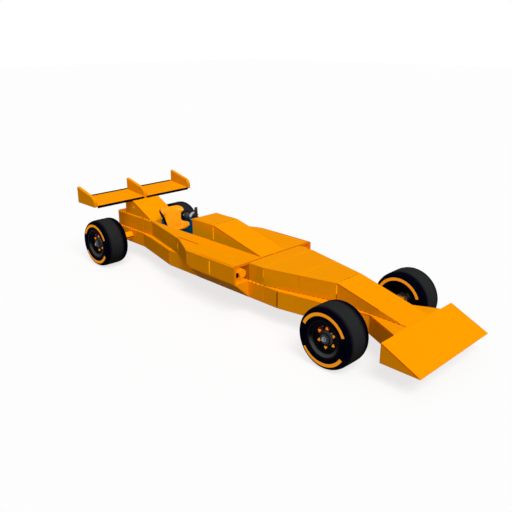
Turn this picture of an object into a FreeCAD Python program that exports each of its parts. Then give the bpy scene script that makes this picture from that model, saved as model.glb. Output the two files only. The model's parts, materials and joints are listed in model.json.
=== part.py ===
import FreeCAD, Part
import math
import os

from FreeCAD import Vector

# An open wheel racing car with a flat-panelled body. Millimetres, +X forward,
# +Y to the car's left, +Z up. The origin is at the middle of the length and
# width, on the ground.

# Driving sizes: running gear
WHEELBASE = 4210.0
FRONT_OVERHANG = 1005.0      # front axle to nose tip
TYRE_RADIUS = 335.0
TYRE_WIDTH = 354.0
TRACK = 1328.0               # tyre centre to tyre centre
TYRE_DROP = 46.0             # tread to the top of the flat sidewall
TYRE_CROWN = 190.0           # width of the level crown
RIM_RADIUS = 205.0
RIM_WALL = 18.0
RIM_LIP = 7.0                # tyre stands this far outside the rim's edge
RIM_MOUTH_RADIUS = 150.0      # opening on the wheel's outer face
RIM_MOUTH_DEPTH = 24.0         # bevel from the outer edge to the mouth
RIM_DISC = 22.0              # thickness of the wheel disc
RIM_DISC_PLACE = 88.0        # wheel centre to the disc's inner face
HUB_RADIUS = 62.0
HUB_INNER = 30.0             # wheel centre to the hub's inner face
HUB_OUTER = 142.0            # wheel centre to the hub's outer face
HUB_CLOSED_END = 20.0
SPINDLE_RADIUS = 30.0
SPINDLE_SHOULDER_RADIUS = 44.0
FRONT_BEAM_RADIUS = 42.0
REAR_TUBE_RADIUS = 60.0
REAR_TUBE_INSET = 44.0       # tyre's centre plane to the tube's end
KINGPIN_INSET = 104.0        # tyre's centre plane to the kingpin
KINGPIN_RADIUS = 14.0
KINGPIN_EYE_RADIUS = 36.0
KINGPIN_EYE_HALF_HEIGHT = 50.0
KNUCKLE_ARM = 20.0           # thickness of each fork arm and of the web
KNUCKLE_HALF_WIDTH = 32.0
KNUCKLE_EYE_GAP = 6.0        # eye to the web between the arms
RUNNING_GAP = 0.3            # clearance of a pin, shaft or seat

# Driving sizes: body heights
PANEL_EDGE = 5.0             # chamfer round each body panel
WING_EDGE = 3.0              # chamfer round the front wing
FLOOR_Z = 231.0
SILL_Z = 449.0               # top of the lower tier
DECK_Z = 671.0               # top of the upper tier
COWL_Z = 888.0               # top of the cowl and of the engine cover

# Driving sizes: body half widths
SPINE_HALF = 229.0
TUB_HALF = 441.0
POD_HALF = 677.0
NOSE_HALF = 211.0
COCKPIT_HALF = 212.0
FOOTWELL_HALF = 180.0

# Driving sizes: body lengths, from the nose tip rearwards
WING_CHORD = 447.0
WING_HALF_SPAN = 664.0
WING_LIP = 8.0
WING_NECK = 432.0            # wing to the waist of the lower tier
NOSE_TAPER = 1113.0          # waist to the lower tier's full width
SHOULDER_BLOCK = 231.0
SCUTTLE_BLOCK = 231.0
NOSE_TOP_PLATE = 439.0       # flat plate ahead of the scuttle
NOSE_FLAT = 449.0            # flat part of the nose cone
POD_LENGTH = 879.0           # along the pod's outer wall
POD_REAR_SWEEP = 411.0
POD_WALL = 32.0
POD_DECK = 20.0
POD_WALL_STEP = 5.0          # outer wall stands this much below the deck
POD_HIP_HALF = 465.0
POD_WALL_NOTCH_LENGTH = 78.0
POD_WALL_NOTCH_HEIGHT = 37.0
UNDERCUT_REAR_SWEEP = 124.0
COWL_TOP = 420.0
COWL_SLOPE = 890.0
COWL_WALL = 20.0
COCKPIT_LENGTH = 898.0
LINER = 8.0
LINER_RIM_DROP = 3.0
FOOTWELL_LENGTH = 1050.0
LOWER_TAPER = 883.0          # rear taper of the lower tier
TAPER_START = 220.0          # ahead of it the upper tier's rear corner
TAIL_OVERHANG = 303.0        # rear axle to the tail
BAY_WALL = 16.0
COVER_TOP = 185.0
COVER_SLOPE = 455.0

# Driving sizes: fittings
PIPE_RADIUS = 50.0
PIPE_LENGTH = 330.0
PIPE_PROUD = 18.0
PIPE_HALF_TRACK = 558.0
PIPE_Z = 571.0
PIPE_LIP = 6.0
PIPE_RECESS = 3.0
ENGINE_LENGTH = 540.0
ENGINE_WIDTH = 380.0
ENGINE_HEIGHT = 215.0
ENGINE_TO_FIREWALL = 40.0

# Driving sizes: rear wing
REAR_WING_HALF_SPAN = 861.0
REAR_WING_LEADING_Z = 916.0  # top of the board's leading edge
REAR_WING_RISE = 40.0
REAR_WING_CHORD = 436.0
REAR_WING_LEAD = 5.0         # leading edge ahead of the cover's flat top
BOARD_THICKNESS = 17.0
FIN_THICKNESS = 50.0
FIN_TOP_Z = 1128.0
FIN_FOOT_Z = 897.0
FIN_NOSE_RADIUS = 105.0
FIN_SHOULDER_Z = 1048.0
PYLON_HALF = 120.0

# Driving sizes: seat and steering
SEAT_FRONT = 533.0           # ahead of it the cockpit's front edge
SEAT_MIDDLE = (              # distance behind the seat's front, height
    (8.0, 560.0),            # lip, underside
    (0.0, 580.0),
    (10.0, 590.0),
    (30.0, 570.0),           # cushion
    (84.0, 560.0),
    (113.0, 643.0),          # back
    (154.0, 725.0),
    (194.0, 806.0),
    (248.0, 856.0),          # crest
    (272.0, 846.0),
    (222.0, 798.0),          # rear of the shell
    (182.0, 717.0),
    (140.0, 635.0),
    (116.0, 530.0),
)
SEAT_EDGE = (                # the same points at the shell's full width
    (16.0, 566.0),
    (8.0, 584.0),
    (14.0, 604.0),
    (25.0, 619.0),
    (76.0, 697.0),
    (110.0, 735.0),
    (152.0, 760.0),
    (132.0, 801.0),
    (190.0, 850.0),
    (214.0, 842.0),
    (172.0, 795.0),
    (184.0, 752.0),
    (142.0, 708.0),
    (118.0, 545.0),
)
SEAT_OUTLINE = (             # half width, height: lap, waist and shoulders
    (170.0, 500.0),
    (181.0, 560.0),
    (181.0, 606.0),
    (175.0, 629.0),
    (160.0, 638.0),
    (134.0, 657.0),
    (134.0, 700.0),
    (141.0, 740.0),
    (152.0, 765.0),
    (172.0, 782.0),
    (184.0, 800.0),
    (188.0, 820.0),
    (180.0, 838.0),
    (160.0, 852.0),
    (128.0, 862.0),
)
SEAT_STATIONS = (            # half width, share of the way from middle to edge
    (104.0, 0.0),
    (150.0, 0.42),
    (182.0, 0.88),
    (199.0, 1.0),
)
SEAT_FOOT_FRONT = 34.0
SEAT_FOOT_REAR = 108.0
SEAT_FOOT_HALF = 110.0
SEAT_FOOT_TOP_Z = 552.0
WHEEL_TO_COWL = 398.0
WHEEL_Z = 808.0
COLUMN_TILT = 12.0
COLUMN_RADIUS = 16.0
COLUMN_LENGTH = 535.0
COLLAR_RADIUS = 26.0
COLLAR = 8.0
BEARING_RADIUS = 34.0
BEARING_LENGTH = 70.0
DASH_SETBACK = 45.0
DASH_THICKNESS = 22.0
GRIP_RADIUS = 13.0
STEERING_RADIUS = 72.0
PLATE_TOP = 20.0             # steering wheel's centre to the plate's top edge
PLATE_BOTTOM = 60.0
SPOKE_THICKNESS = 20.0
STEERING_HUB_DEPTH = SPOKE_THICKNESS + 12.0
STEERING_HUB_RADIUS = 28.0
STEERING_BOSS_RADIUS = 46.0
STEERING_BOSS_LENGTH = 88.0
HOOD_TO_COWL = 201.0         # instrument hood's front face to the cockpit's front edge
HOOD_LENGTH = 60.0
HOOD_RADIUS = 72.0
HOOD_WALL = 20.0
HOOD_FACE = 10.0
HOOD_Z = 820.0               # middle of the arch
HOOD_BASE = 12.0
HOOD_ARM_HALF = 14.0
HOOD_ARM_DEPTH = 16.0
SCREEN_HALF = 21.0
SCREEN_THICKNESS = 12.0
SCREEN_SETBACK = 20.0        # hood's front face to the screen's rear face
SCREEN_TOP_Z = 971.0

# Driving sizes: tow eyes
TOW_EYE_HOLE = 20.0
TOW_EYE_RADIUS = 38.0
TOW_EYE_THICKNESS = 16.0
TOW_EYE_DROP = 34.0          # floor to the middle of the hole
TOW_EYE_INSET = 70.0         # tail to the lug's rear face

# Places along X worked out from the lengths
LENGTH = FRONT_OVERHANG + WHEELBASE + TYRE_RADIUS
X_TIP = LENGTH / 2
X_FRONT_AXLE = X_TIP - FRONT_OVERHANG
X_REAR_AXLE = X_FRONT_AXLE - WHEELBASE
X_WING_REAR = X_TIP - WING_CHORD
X_WAIST = X_WING_REAR - WING_NECK
X_SHOULDER = X_WAIST - NOSE_TAPER
X_SCUTTLE = X_SHOULDER - SHOULDER_BLOCK
X_POD_FRONT = X_SCUTTLE - SCUTTLE_BLOCK
X_POD_CORNER = X_POD_FRONT - POD_LENGTH
X_POD_HIP = X_POD_CORNER - POD_REAR_SWEEP
X_COWL_FRONT = X_POD_FRONT
X_COWL_CREASE = X_COWL_FRONT - COWL_SLOPE
X_COCKPIT_FRONT = X_COWL_CREASE - COWL_TOP
X_COCKPIT_REAR = X_COCKPIT_FRONT - COCKPIT_LENGTH
X_TAPER_REAR = X_COCKPIT_REAR - TAPER_START
X_TAPER_FRONT = X_TAPER_REAR + LOWER_TAPER
X_TAIL = X_REAR_AXLE - TAIL_OVERHANG
X_COVER_TOP = X_COCKPIT_REAR - COVER_SLOPE
X_COVER_REAR = X_COVER_TOP - COVER_TOP
X_NOSE_CREASE = X_SCUTTLE + NOSE_TOP_PLATE + NOSE_FLAT

AXLE_Z = TYRE_RADIUS
HALF_TRACK = TRACK / 2
KINGPIN_HALF_TRACK = HALF_TRACK - KINGPIN_INSET
REAR_TUBE_END = HALF_TRACK - REAR_TUBE_INSET
SIDES = (("left", 1), ("right", -1))
Y_AXIS = Vector(0, 1, 0)
ROUNDNESS = 0.5523           # handle length that makes a curve a quarter ellipse


def box(x0, x1, y0, y1, z0, z1):
    corner = Vector(min(x0, x1), min(y0, y1), min(z0, z1))
    return Part.makeBox(abs(x1 - x0), abs(y1 - y0), abs(z1 - z0), corner)


def wire(points):
    return Part.makePolygon(points + [points[0]])


def plan_prism(outline, z0, z1):
    """Extrude an outline of (x, y) points from z0 up to z1."""
    face = Part.Face(wire([Vector(x, y, z0) for x, y in outline]))
    return face.extrude(Vector(0, 0, z1 - z0))


def side_prism(profile, y0, y1):
    """Extrude a profile of (x, z) points from y0 to y1."""
    face = Part.Face(wire([Vector(x, y0, z) for x, z in profile]))
    return face.extrude(Vector(0, y1 - y0, 0))


def front_prism(profile, x0, x1):
    """Extrude a profile of (y, z) points from x0 to x1."""
    face = Part.Face(wire([Vector(x0, y, z) for y, z in profile]))
    return face.extrude(Vector(x1 - x0, 0, 0))


def symmetric_outline(stations):
    """Close a table of (x, half width) rows about the centre plane."""
    left = [(x, half) for x, half in stations]
    right = [(x, -half) for x, half in reversed(stations)]
    return left + right


def tier(stations, z0, z1):
    """One panelled block of a body tier, with its edges eased."""
    return eased(plan_prism(symmetric_outline(stations), z0, z1))


def eased(shape, edge=PANEL_EDGE):
    """Chamfer every edge of a flat-sided panel."""
    return shape.makeChamfer(edge, shape.Edges)


def cylinder(radius, start, end):
    axis = end.sub(start)
    return Part.makeCylinder(radius, axis.Length, start, axis)


def across(radius, x, z, y0, y1):
    """A cylinder along Y."""
    return cylinder(radius, Vector(x, y0, z), Vector(x, y1, z))


def mirrored(shape, side):
    if side > 0:
        return shape
    return shape.mirror(Vector(0, 0, 0), Y_AXIS)


# Body: lower tier

def rear_floor():
    stations = (
        (X_TAIL, SPINE_HALF),
        (X_TAPER_REAR, SPINE_HALF),
        (X_TAPER_FRONT, TUB_HALF),
    )
    hole = across(REAR_TUBE_RADIUS + RUNNING_GAP, X_REAR_AXLE, AXLE_Z, -TUB_HALF, TUB_HALF)
    return tier(stations, FLOOR_Z, SILL_Z).cut(hole)


def floor_tub():
    stations = ((X_TAPER_FRONT, TUB_HALF), (X_SCUTTLE, TUB_HALF))
    return tier(stations, FLOOR_Z, SILL_Z)


def shoulder_floor():
    stations = ((X_SCUTTLE, TUB_HALF), (X_SHOULDER, TUB_HALF))
    return tier(stations, FLOOR_Z, SILL_Z)


def nose_floor():
    stations = (
        (X_SHOULDER, TUB_HALF),
        (X_WAIST, SPINE_HALF),
        (X_WING_REAR, TUB_HALF),
    )
    hole = across(FRONT_BEAM_RADIUS + RUNNING_GAP, X_FRONT_AXLE, AXLE_Z, -TUB_HALF, TUB_HALF)
    return tier(stations, FLOOR_Z, SILL_Z).cut(hole)


def front_wing():
    profile = [
        (X_WING_REAR, FLOOR_Z),
        (X_TIP, FLOOR_Z),
        (X_TIP, FLOOR_Z + WING_LIP),
        (X_WING_REAR, SILL_Z),
    ]
    return eased(side_prism(profile, -WING_HALF_SPAN, WING_HALF_SPAN), WING_EDGE)


# Body: upper tier

def x_at_hip_half(half):
    """Place between the cockpit's rear and the hip with this half width."""
    share = (half - SPINE_HALF) / (POD_HIP_HALF - SPINE_HALF)
    return X_COCKPIT_REAR + share * (X_POD_HIP - X_COCKPIT_REAR)


def cockpit_surround():
    stations = (
        (X_COCKPIT_REAR, SPINE_HALF),
        (x_at_hip_half(TUB_HALF), TUB_HALF),
        (X_POD_FRONT, TUB_HALF),
    )
    body = tier(stations, SILL_Z, DECK_Z)
    cockpit = box(X_COCKPIT_REAR, X_COCKPIT_FRONT, -COCKPIT_HALF, COCKPIT_HALF, SILL_Z, DECK_Z)
    footwell_end = X_COCKPIT_FRONT + FOOTWELL_LENGTH
    footwell = box(X_COCKPIT_FRONT, footwell_end, -FOOTWELL_HALF, FOOTWELL_HALF, SILL_Z, DECK_Z)
    return body.cut(cockpit).cut(footwell)


def scuttle():
    stations = ((X_POD_FRONT, TUB_HALF), (X_SCUTTLE, TUB_HALF))
    return tier(stations, SILL_Z, DECK_Z)


def nose_top_half(x):
    share = (x - X_SCUTTLE) / (X_NOSE_CREASE - X_SCUTTLE)
    return TUB_HALF + share * (NOSE_HALF - TUB_HALF)


def nose_plate():
    plate_end = X_SCUTTLE + NOSE_TOP_PLATE
    stations = ((X_SCUTTLE, TUB_HALF), (plate_end, nose_top_half(plate_end)))
    return tier(stations, SILL_Z, DECK_Z)


def nose_cone():
    start = X_SCUTTLE + NOSE_TOP_PLATE
    stations = (
        (start, nose_top_half(start)),
        (X_NOSE_CREASE, NOSE_HALF),
        (X_WING_REAR, NOSE_HALF),
    )
    slope = [
        (X_NOSE_CREASE, DECK_Z),
        (X_WING_REAR, DECK_Z),
        (X_WING_REAR, SILL_Z),
    ]
    cutter = side_prism(slope, -TUB_HALF, TUB_HALF)
    return eased(plan_prism(symmetric_outline(stations), SILL_Z, DECK_Z).cut(cutter))


def firewall_body():
    """Block between the engine bay and the cockpit, open in its middle."""
    stations = ((X_TAPER_REAR, SPINE_HALF), (X_COCKPIT_REAR, SPINE_HALF))
    body = tier(stations, SILL_Z, DECK_Z)
    inner = SPINE_HALF - BAY_WALL
    room = box(X_TAPER_REAR, X_COCKPIT_REAR - BAY_WALL, -inner, inner, SILL_Z, DECK_Z)
    return body.cut(room)


def engine_bay_body():
    """Side, rear and top panels round the engine."""
    stations = ((X_TAIL, SPINE_HALF), (X_TAPER_REAR, SPINE_HALF))
    body = tier(stations, SILL_Z, DECK_Z)
    inner = SPINE_HALF - BAY_WALL
    room = box(X_TAIL + BAY_WALL, X_TAPER_REAR, -inner, inner, SILL_Z, DECK_Z)
    lid = box(X_TAIL, X_COVER_REAR + BAY_WALL, -SPINE_HALF, SPINE_HALF, DECK_Z - BAY_WALL, DECK_Z)
    return body.cut(room).fuse(lid).removeSplitter()


def engine_cover():
    outer = [
        (X_COVER_REAR, DECK_Z),
        (X_COCKPIT_REAR, DECK_Z),
        (X_COVER_TOP, COWL_Z),
        (X_COVER_REAR, COWL_Z),
    ]
    rise = COWL_Z - DECK_Z
    slope_length = math.hypot(rise, COVER_SLOPE)
    thin_x = BAY_WALL * slope_length / rise
    inner_top = X_COVER_TOP - BAY_WALL * (slope_length - COVER_SLOPE) / rise
    inner = [
        (X_COVER_REAR + BAY_WALL, DECK_Z),
        (X_COCKPIT_REAR - thin_x, DECK_Z),
        (inner_top, COWL_Z - BAY_WALL),
        (X_COVER_REAR + BAY_WALL, COWL_Z - BAY_WALL),
    ]
    inner_half = SPINE_HALF - BAY_WALL
    shell = eased(side_prism(outer, -SPINE_HALF, SPINE_HALF))
    return shell.cut(side_prism(inner, -inner_half, inner_half))


def engine_block():
    front = X_COCKPIT_REAR - BAY_WALL - ENGINE_TO_FIREWALL
    half = ENGINE_WIDTH / 2
    return box(front - ENGINE_LENGTH, front, -half, half, SILL_Z, SILL_Z + ENGINE_HEIGHT)


def cowl():
    outer = [
        (X_COCKPIT_FRONT, DECK_Z),
        (X_COWL_FRONT, DECK_Z),
        (X_COWL_CREASE, COWL_Z),
        (X_COCKPIT_FRONT, COWL_Z),
    ]
    rise = COWL_Z - DECK_Z
    slope_length = math.hypot(rise, COWL_SLOPE)
    inner = [
        (X_COCKPIT_FRONT, DECK_Z),
        (X_COWL_FRONT - COWL_WALL * slope_length / rise, DECK_Z),
        (X_COWL_CREASE - COWL_WALL * (slope_length - COWL_SLOPE) / rise, COWL_Z - COWL_WALL),
        (X_COCKPIT_FRONT, COWL_Z - COWL_WALL),
    ]
    shell = eased(side_prism(outer, -COCKPIT_HALF, COCKPIT_HALF))
    return shell.cut(side_prism(inner, -FOOTWELL_HALF, FOOTWELL_HALF))


# Body: sidepods

def sidepod_deck(side):
    """Deck plate and slanted rear wall as one panel."""
    inner_rear = x_at_hip_half(TUB_HALF)
    deck_edge = POD_HALF - POD_WALL
    sweep = POD_REAR_SWEEP / (POD_HALF - POD_HIP_HALF)
    edge_rear = X_POD_CORNER - POD_WALL * sweep
    outline = [
        (inner_rear, TUB_HALF),
        (X_POD_HIP, POD_HIP_HALF),
        (edge_rear, deck_edge),
        (X_POD_FRONT, deck_edge),
        (X_POD_FRONT, TUB_HALF),
    ]
    block = eased(plan_prism(outline, SILL_Z, DECK_Z))
    wall_x = POD_WALL * math.hypot(1.0, sweep)
    room = [
        (X_POD_HIP + wall_x + (TUB_HALF - POD_HIP_HALF) * sweep, TUB_HALF),
        (edge_rear + wall_x, deck_edge),
        (X_POD_FRONT, deck_edge),
        (X_POD_FRONT, TUB_HALF),
    ]
    hollow = plan_prism(room, SILL_Z, DECK_Z - POD_DECK)
    return mirrored(block.cut(hollow), side)


def sidepod_wall(side):
    """Thin outer panel with its lower rear corner cut off."""
    sweep = POD_REAR_SWEEP / (POD_HALF - POD_HIP_HALF)
    outline = [
        (X_POD_CORNER - POD_WALL * sweep, POD_HALF - POD_WALL),
        (X_POD_CORNER, POD_HALF),
        (X_POD_FRONT, POD_HALF),
        (X_POD_FRONT, POD_HALF - POD_WALL),
    ]
    panel = plan_prism(outline, SILL_Z, DECK_Z - POD_WALL_STEP)
    notch = [
        (X_POD_CORNER - POD_REAR_SWEEP, SILL_Z),
        (X_POD_CORNER + POD_WALL_NOTCH_LENGTH, SILL_Z),
        (X_POD_CORNER, SILL_Z + POD_WALL_NOTCH_HEIGHT),
        (X_POD_CORNER - POD_REAR_SWEEP, SILL_Z + POD_WALL_NOTCH_HEIGHT),
    ]
    cutter = side_prism(notch, POD_HALF - POD_WALL, POD_HALF)
    return mirrored(eased(panel.cut(cutter)), side)


def sidepod_undercut(side):
    """Wedge that carries the sidepod from the lower tier."""
    profile = [(TUB_HALF, FLOOR_Z), (POD_HALF, SILL_Z), (TUB_HALF, SILL_Z)]
    rear = X_POD_CORNER + POD_WALL_NOTCH_LENGTH - UNDERCUT_REAR_SWEEP
    wedge = front_prism(profile, rear, X_POD_FRONT)
    sweep = plan_prism(
        [
            (rear, TUB_HALF),
            (rear, POD_HALF),
            (rear + UNDERCUT_REAR_SWEEP, POD_HALF),
        ],
        FLOOR_Z,
        SILL_Z,
    )
    return mirrored(eased(wedge.cut(sweep)), side)


def inlet_pipe(side):
    front = X_POD_FRONT + PIPE_PROUD
    rear = front - PIPE_LENGTH
    pipe = cylinder(
        PIPE_RADIUS,
        Vector(rear, PIPE_HALF_TRACK, PIPE_Z),
        Vector(front, PIPE_HALF_TRACK, PIPE_Z),
    )
    recess = cylinder(
        PIPE_RADIUS - PIPE_LIP,
        Vector(front - PIPE_RECESS, PIPE_HALF_TRACK, PIPE_Z),
        Vector(front, PIPE_HALF_TRACK, PIPE_Z),
    )
    foot = box(
        rear,
        rear + PIPE_RADIUS,
        PIPE_HALF_TRACK - PIPE_RADIUS / 2,
        PIPE_HALF_TRACK + PIPE_RADIUS / 2,
        SILL_Z,
        PIPE_Z,
    )
    return mirrored(pipe.cut(recess).fuse(foot), side)


# Cockpit

def cockpit_liner():
    top = DECK_Z - LINER_RIM_DROP
    outer = box(X_COCKPIT_REAR, X_COCKPIT_FRONT, -COCKPIT_HALF, COCKPIT_HALF, SILL_Z, top)
    inner_half = COCKPIT_HALF - LINER
    inner = box(
        X_COCKPIT_REAR + LINER,
        X_COCKPIT_FRONT,
        -inner_half,
        inner_half,
        SILL_Z + LINER,
        top,
    )
    return outer.cut(inner)


def seat_section(front, half, share):
    """Outline of the shell at a distance from the centre plane."""
    points = []
    for middle, edge in zip(SEAT_MIDDLE, SEAT_EDGE):
        setback = middle[0] + share * (edge[0] - middle[0])
        height = middle[1] + share * (edge[1] - middle[1])
        points.append(Vector(front - setback, half, height))
    return wire(points)


def seat():
    """Curved shell with bolsters, narrow at the waist, on a foot."""
    front = X_COCKPIT_FRONT - SEAT_FRONT
    right = [seat_section(front, -half, share) for half, share in reversed(SEAT_STATIONS)]
    left = [seat_section(front, half, share) for half, share in SEAT_STATIONS]
    shell = Part.makeLoft(right + left, True, True)
    half_outline = [(half, z) for half, z in SEAT_OUTLINE]
    other_half = [(-half, z) for half, z in reversed(SEAT_OUTLINE)]
    rear = X_COCKPIT_REAR
    outline = wire([Vector(rear, y, z) for y, z in half_outline + other_half])
    shell = shell.common(Part.Face(outline).extrude(Vector(front + 1 - rear, 0, 0)))
    foot = box(
        front - SEAT_FOOT_REAR,
        front - SEAT_FOOT_FRONT,
        -SEAT_FOOT_HALF,
        SEAT_FOOT_HALF,
        SILL_Z + LINER,
        SEAT_FOOT_TOP_Z,
    )
    return shell.fuse(foot)


# Steering

def column_point(distance):
    """Point on the column, measured forwards from the steering wheel's centre."""
    tilt = math.radians(COLUMN_TILT)
    x = X_COCKPIT_FRONT - WHEEL_TO_COWL + distance * math.cos(tilt)
    return Vector(x, 0, WHEEL_Z - distance * math.sin(tilt))


def dash_distance():
    return (WHEEL_TO_COWL + DASH_SETBACK + DASH_THICKNESS / 2) / math.cos(math.radians(COLUMN_TILT))


def dash_panel():
    x0 = X_COCKPIT_FRONT + DASH_SETBACK
    plate = box(
        x0,
        x0 + DASH_THICKNESS,
        -FOOTWELL_HALF,
        FOOTWELL_HALF,
        DECK_Z,
        COWL_Z - COWL_WALL,
    )
    middle = dash_distance()
    start = column_point(middle - BEARING_LENGTH / 2)
    end = column_point(middle + BEARING_LENGTH / 2)
    bearing = cylinder(BEARING_RADIUS, start, end)
    bore = cylinder(COLUMN_RADIUS + RUNNING_GAP, column_point(0), column_point(COLUMN_LENGTH * 2))
    return plate.fuse(bearing).cut(bore)


def steering_column():
    shaft = cylinder(COLUMN_RADIUS, column_point(0), column_point(COLUMN_LENGTH))
    near = dash_distance() - BEARING_LENGTH / 2 - RUNNING_GAP
    far = dash_distance() + BEARING_LENGTH / 2 + RUNNING_GAP
    rear_collar = cylinder(COLLAR_RADIUS, column_point(near - COLLAR), column_point(near))
    front_collar = cylinder(COLLAR_RADIUS, column_point(far), column_point(far + COLLAR))
    return shaft.fuse(rear_collar).fuse(front_collar)


def tilted(shape):
    """Turn a shape made about the origin, facing -X, onto the column."""
    turned = shape.copy()
    turned.rotate(Vector(0, 0, 0), Y_AXIS, COLUMN_TILT)
    turned.translate(column_point(0))
    return turned


def steering_wheel():
    """Ring, lower plate and hub, with a boss over the column's end."""
    centre = Vector(0, 0, 0)
    rear = Vector(-SPOKE_THICKNESS, 0, 0)
    boss_end = Vector(STEERING_BOSS_LENGTH, 0, 0)
    ring = Part.makeTorus(STEERING_RADIUS, GRIP_RADIUS, centre, Vector(1, 0, 0))
    disc = cylinder(STEERING_RADIUS, rear, centre)
    band = box(
        -SPOKE_THICKNESS, 0, -STEERING_RADIUS, STEERING_RADIUS, -PLATE_BOTTOM, PLATE_TOP
    )
    hub = cylinder(STEERING_HUB_RADIUS, Vector(-STEERING_HUB_DEPTH, 0, 0), centre)
    boss = cylinder(STEERING_BOSS_RADIUS, centre, boss_end)
    boss = boss.cut(cylinder(COLUMN_RADIUS + RUNNING_GAP, centre, boss_end))
    return tilted(ring.fuse(disc.common(band)).fuse(hub).fuse(boss))


def instrument_hood():
    """Arch over the column, with the screen ahead of it, on an arm from the dash."""
    front = X_COCKPIT_FRONT - HOOD_TO_COWL
    rear = front - HOOD_LENGTH
    base_z = HOOD_Z - HOOD_BASE
    arch = cylinder(HOOD_RADIUS, Vector(rear, 0, HOOD_Z), Vector(front, 0, HOOD_Z))
    room = cylinder(
        HOOD_RADIUS - HOOD_WALL,
        Vector(rear + HOOD_FACE, 0, HOOD_Z),
        Vector(front, 0, HOOD_Z),
    )
    lower_half = box(rear, front, -HOOD_RADIUS, HOOD_RADIUS, HOOD_Z - HOOD_RADIUS, HOOD_Z)
    base = box(rear, front, -HOOD_RADIUS, HOOD_RADIUS, base_z, HOOD_Z)
    arm_rear = front - HOOD_ARM_DEPTH / 2
    arm = box(
        arm_rear,
        X_COCKPIT_FRONT + DASH_SETBACK,
        -HOOD_ARM_HALF,
        HOOD_ARM_HALF,
        base_z - HOOD_ARM_DEPTH,
        base_z,
    )
    screen_rear = front + SCREEN_SETBACK
    screen = box(
        screen_rear,
        screen_rear + SCREEN_THICKNESS,
        -SCREEN_HALF,
        SCREEN_HALF,
        base_z,
        SCREEN_TOP_Z,
    )
    return arch.cut(room).cut(lower_half).fuse(base).fuse(arm).fuse(screen)


# Running gear

def tyre(x, side):
    half = TYRE_WIDTH / 2
    flat = TYRE_CROWN / 2
    wall = TYRE_RADIUS - TYRE_DROP
    bore = RIM_RADIUS + RUNNING_GAP

    def point(y, radius):
        return Vector(x, HALF_TRACK + y, AXLE_Z + radius)

    def shoulder(sign):
        curve = Part.BezierCurve()
        curve.setPoles([
            point(sign * flat, TYRE_RADIUS),
            point(sign * (flat + ROUNDNESS * (half - flat)), TYRE_RADIUS),
            point(sign * half, wall + ROUNDNESS * TYRE_DROP),
            point(sign * half, wall),
        ])
        return curve.toShape()

    edges = [
        Part.makeLine(point(-half, bore), point(-half, wall)),
        shoulder(-1),
        Part.makeLine(point(-flat, TYRE_RADIUS), point(flat, TYRE_RADIUS)),
        shoulder(1),
        Part.makeLine(point(half, wall), point(half, bore)),
        Part.makeLine(point(half, bore), point(-half, bore)),
    ]
    face = Part.Face(Part.Wire(edges))
    return mirrored(face.revolve(Vector(x, 0, AXLE_Z), Y_AXIS, 360), side)


def rim(x, side):
    edge = TYRE_WIDTH / 2 - RIM_LIP
    barrel = across(RIM_RADIUS, x, AXLE_Z, HALF_TRACK - edge, HALF_TRACK + edge)
    inner = RIM_RADIUS - RIM_WALL
    disc_in = HALF_TRACK + RIM_DISC_PLACE
    disc_out = disc_in + RIM_DISC
    back_room = across(inner, x, AXLE_Z, HALF_TRACK - edge, disc_in)
    mouth = HALF_TRACK + edge - RIM_MOUTH_DEPTH
    front_room = across(RIM_MOUTH_RADIUS, x, AXLE_Z, disc_out, mouth)
    bevel = Part.makeCone(
        RIM_MOUTH_RADIUS, inner, RIM_MOUTH_DEPTH, Vector(x, mouth, AXLE_Z), Y_AXIS
    )
    hub = across(HUB_RADIUS, x, AXLE_Z, HALF_TRACK + HUB_INNER, HALF_TRACK + HUB_OUTER)
    bore_end = HALF_TRACK + HUB_OUTER - HUB_CLOSED_END
    bore = across(SPINDLE_RADIUS + RUNNING_GAP, x, AXLE_Z, HALF_TRACK, bore_end)
    wheel = barrel.cut(back_room).cut(front_room).cut(bevel).fuse(hub).cut(bore)
    return mirrored(wheel, side)


def spindle(x, start):
    """Shoulder and spindle, from start out to the end of the hub's bore."""
    shoulder_end = HALF_TRACK + HUB_INNER - RUNNING_GAP
    tip = HALF_TRACK + HUB_OUTER - HUB_CLOSED_END - RUNNING_GAP
    shoulder = across(SPINDLE_SHOULDER_RADIUS, x, AXLE_Z, start, shoulder_end)
    return shoulder.fuse(across(SPINDLE_RADIUS, x, AXLE_Z, shoulder_end, tip))


def rear_axle():
    tube = across(REAR_TUBE_RADIUS, X_REAR_AXLE, AXLE_Z, -REAR_TUBE_END, REAR_TUBE_END)
    left = spindle(X_REAR_AXLE, REAR_TUBE_END)
    return tube.fuse(left).fuse(mirrored(left, -1))


def front_beam():
    beam = across(
        FRONT_BEAM_RADIUS, X_FRONT_AXLE, AXLE_Z, -KINGPIN_HALF_TRACK, KINGPIN_HALF_TRACK
    )
    for _, side in SIDES:
        foot = Vector(X_FRONT_AXLE, side * KINGPIN_HALF_TRACK, AXLE_Z - KINGPIN_EYE_HALF_HEIGHT)
        head = Vector(X_FRONT_AXLE, side * KINGPIN_HALF_TRACK, AXLE_Z + KINGPIN_EYE_HALF_HEIGHT)
        outside = across(
            FRONT_BEAM_RADIUS + 1,
            X_FRONT_AXLE,
            AXLE_Z,
            side * KINGPIN_HALF_TRACK,
            side * (KINGPIN_HALF_TRACK + KINGPIN_EYE_RADIUS),
        )
        beam = beam.cut(outside).fuse(cylinder(KINGPIN_EYE_RADIUS, foot, head))
        beam = beam.cut(cylinder(KINGPIN_RADIUS + RUNNING_GAP, foot, head))
    return beam


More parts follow.
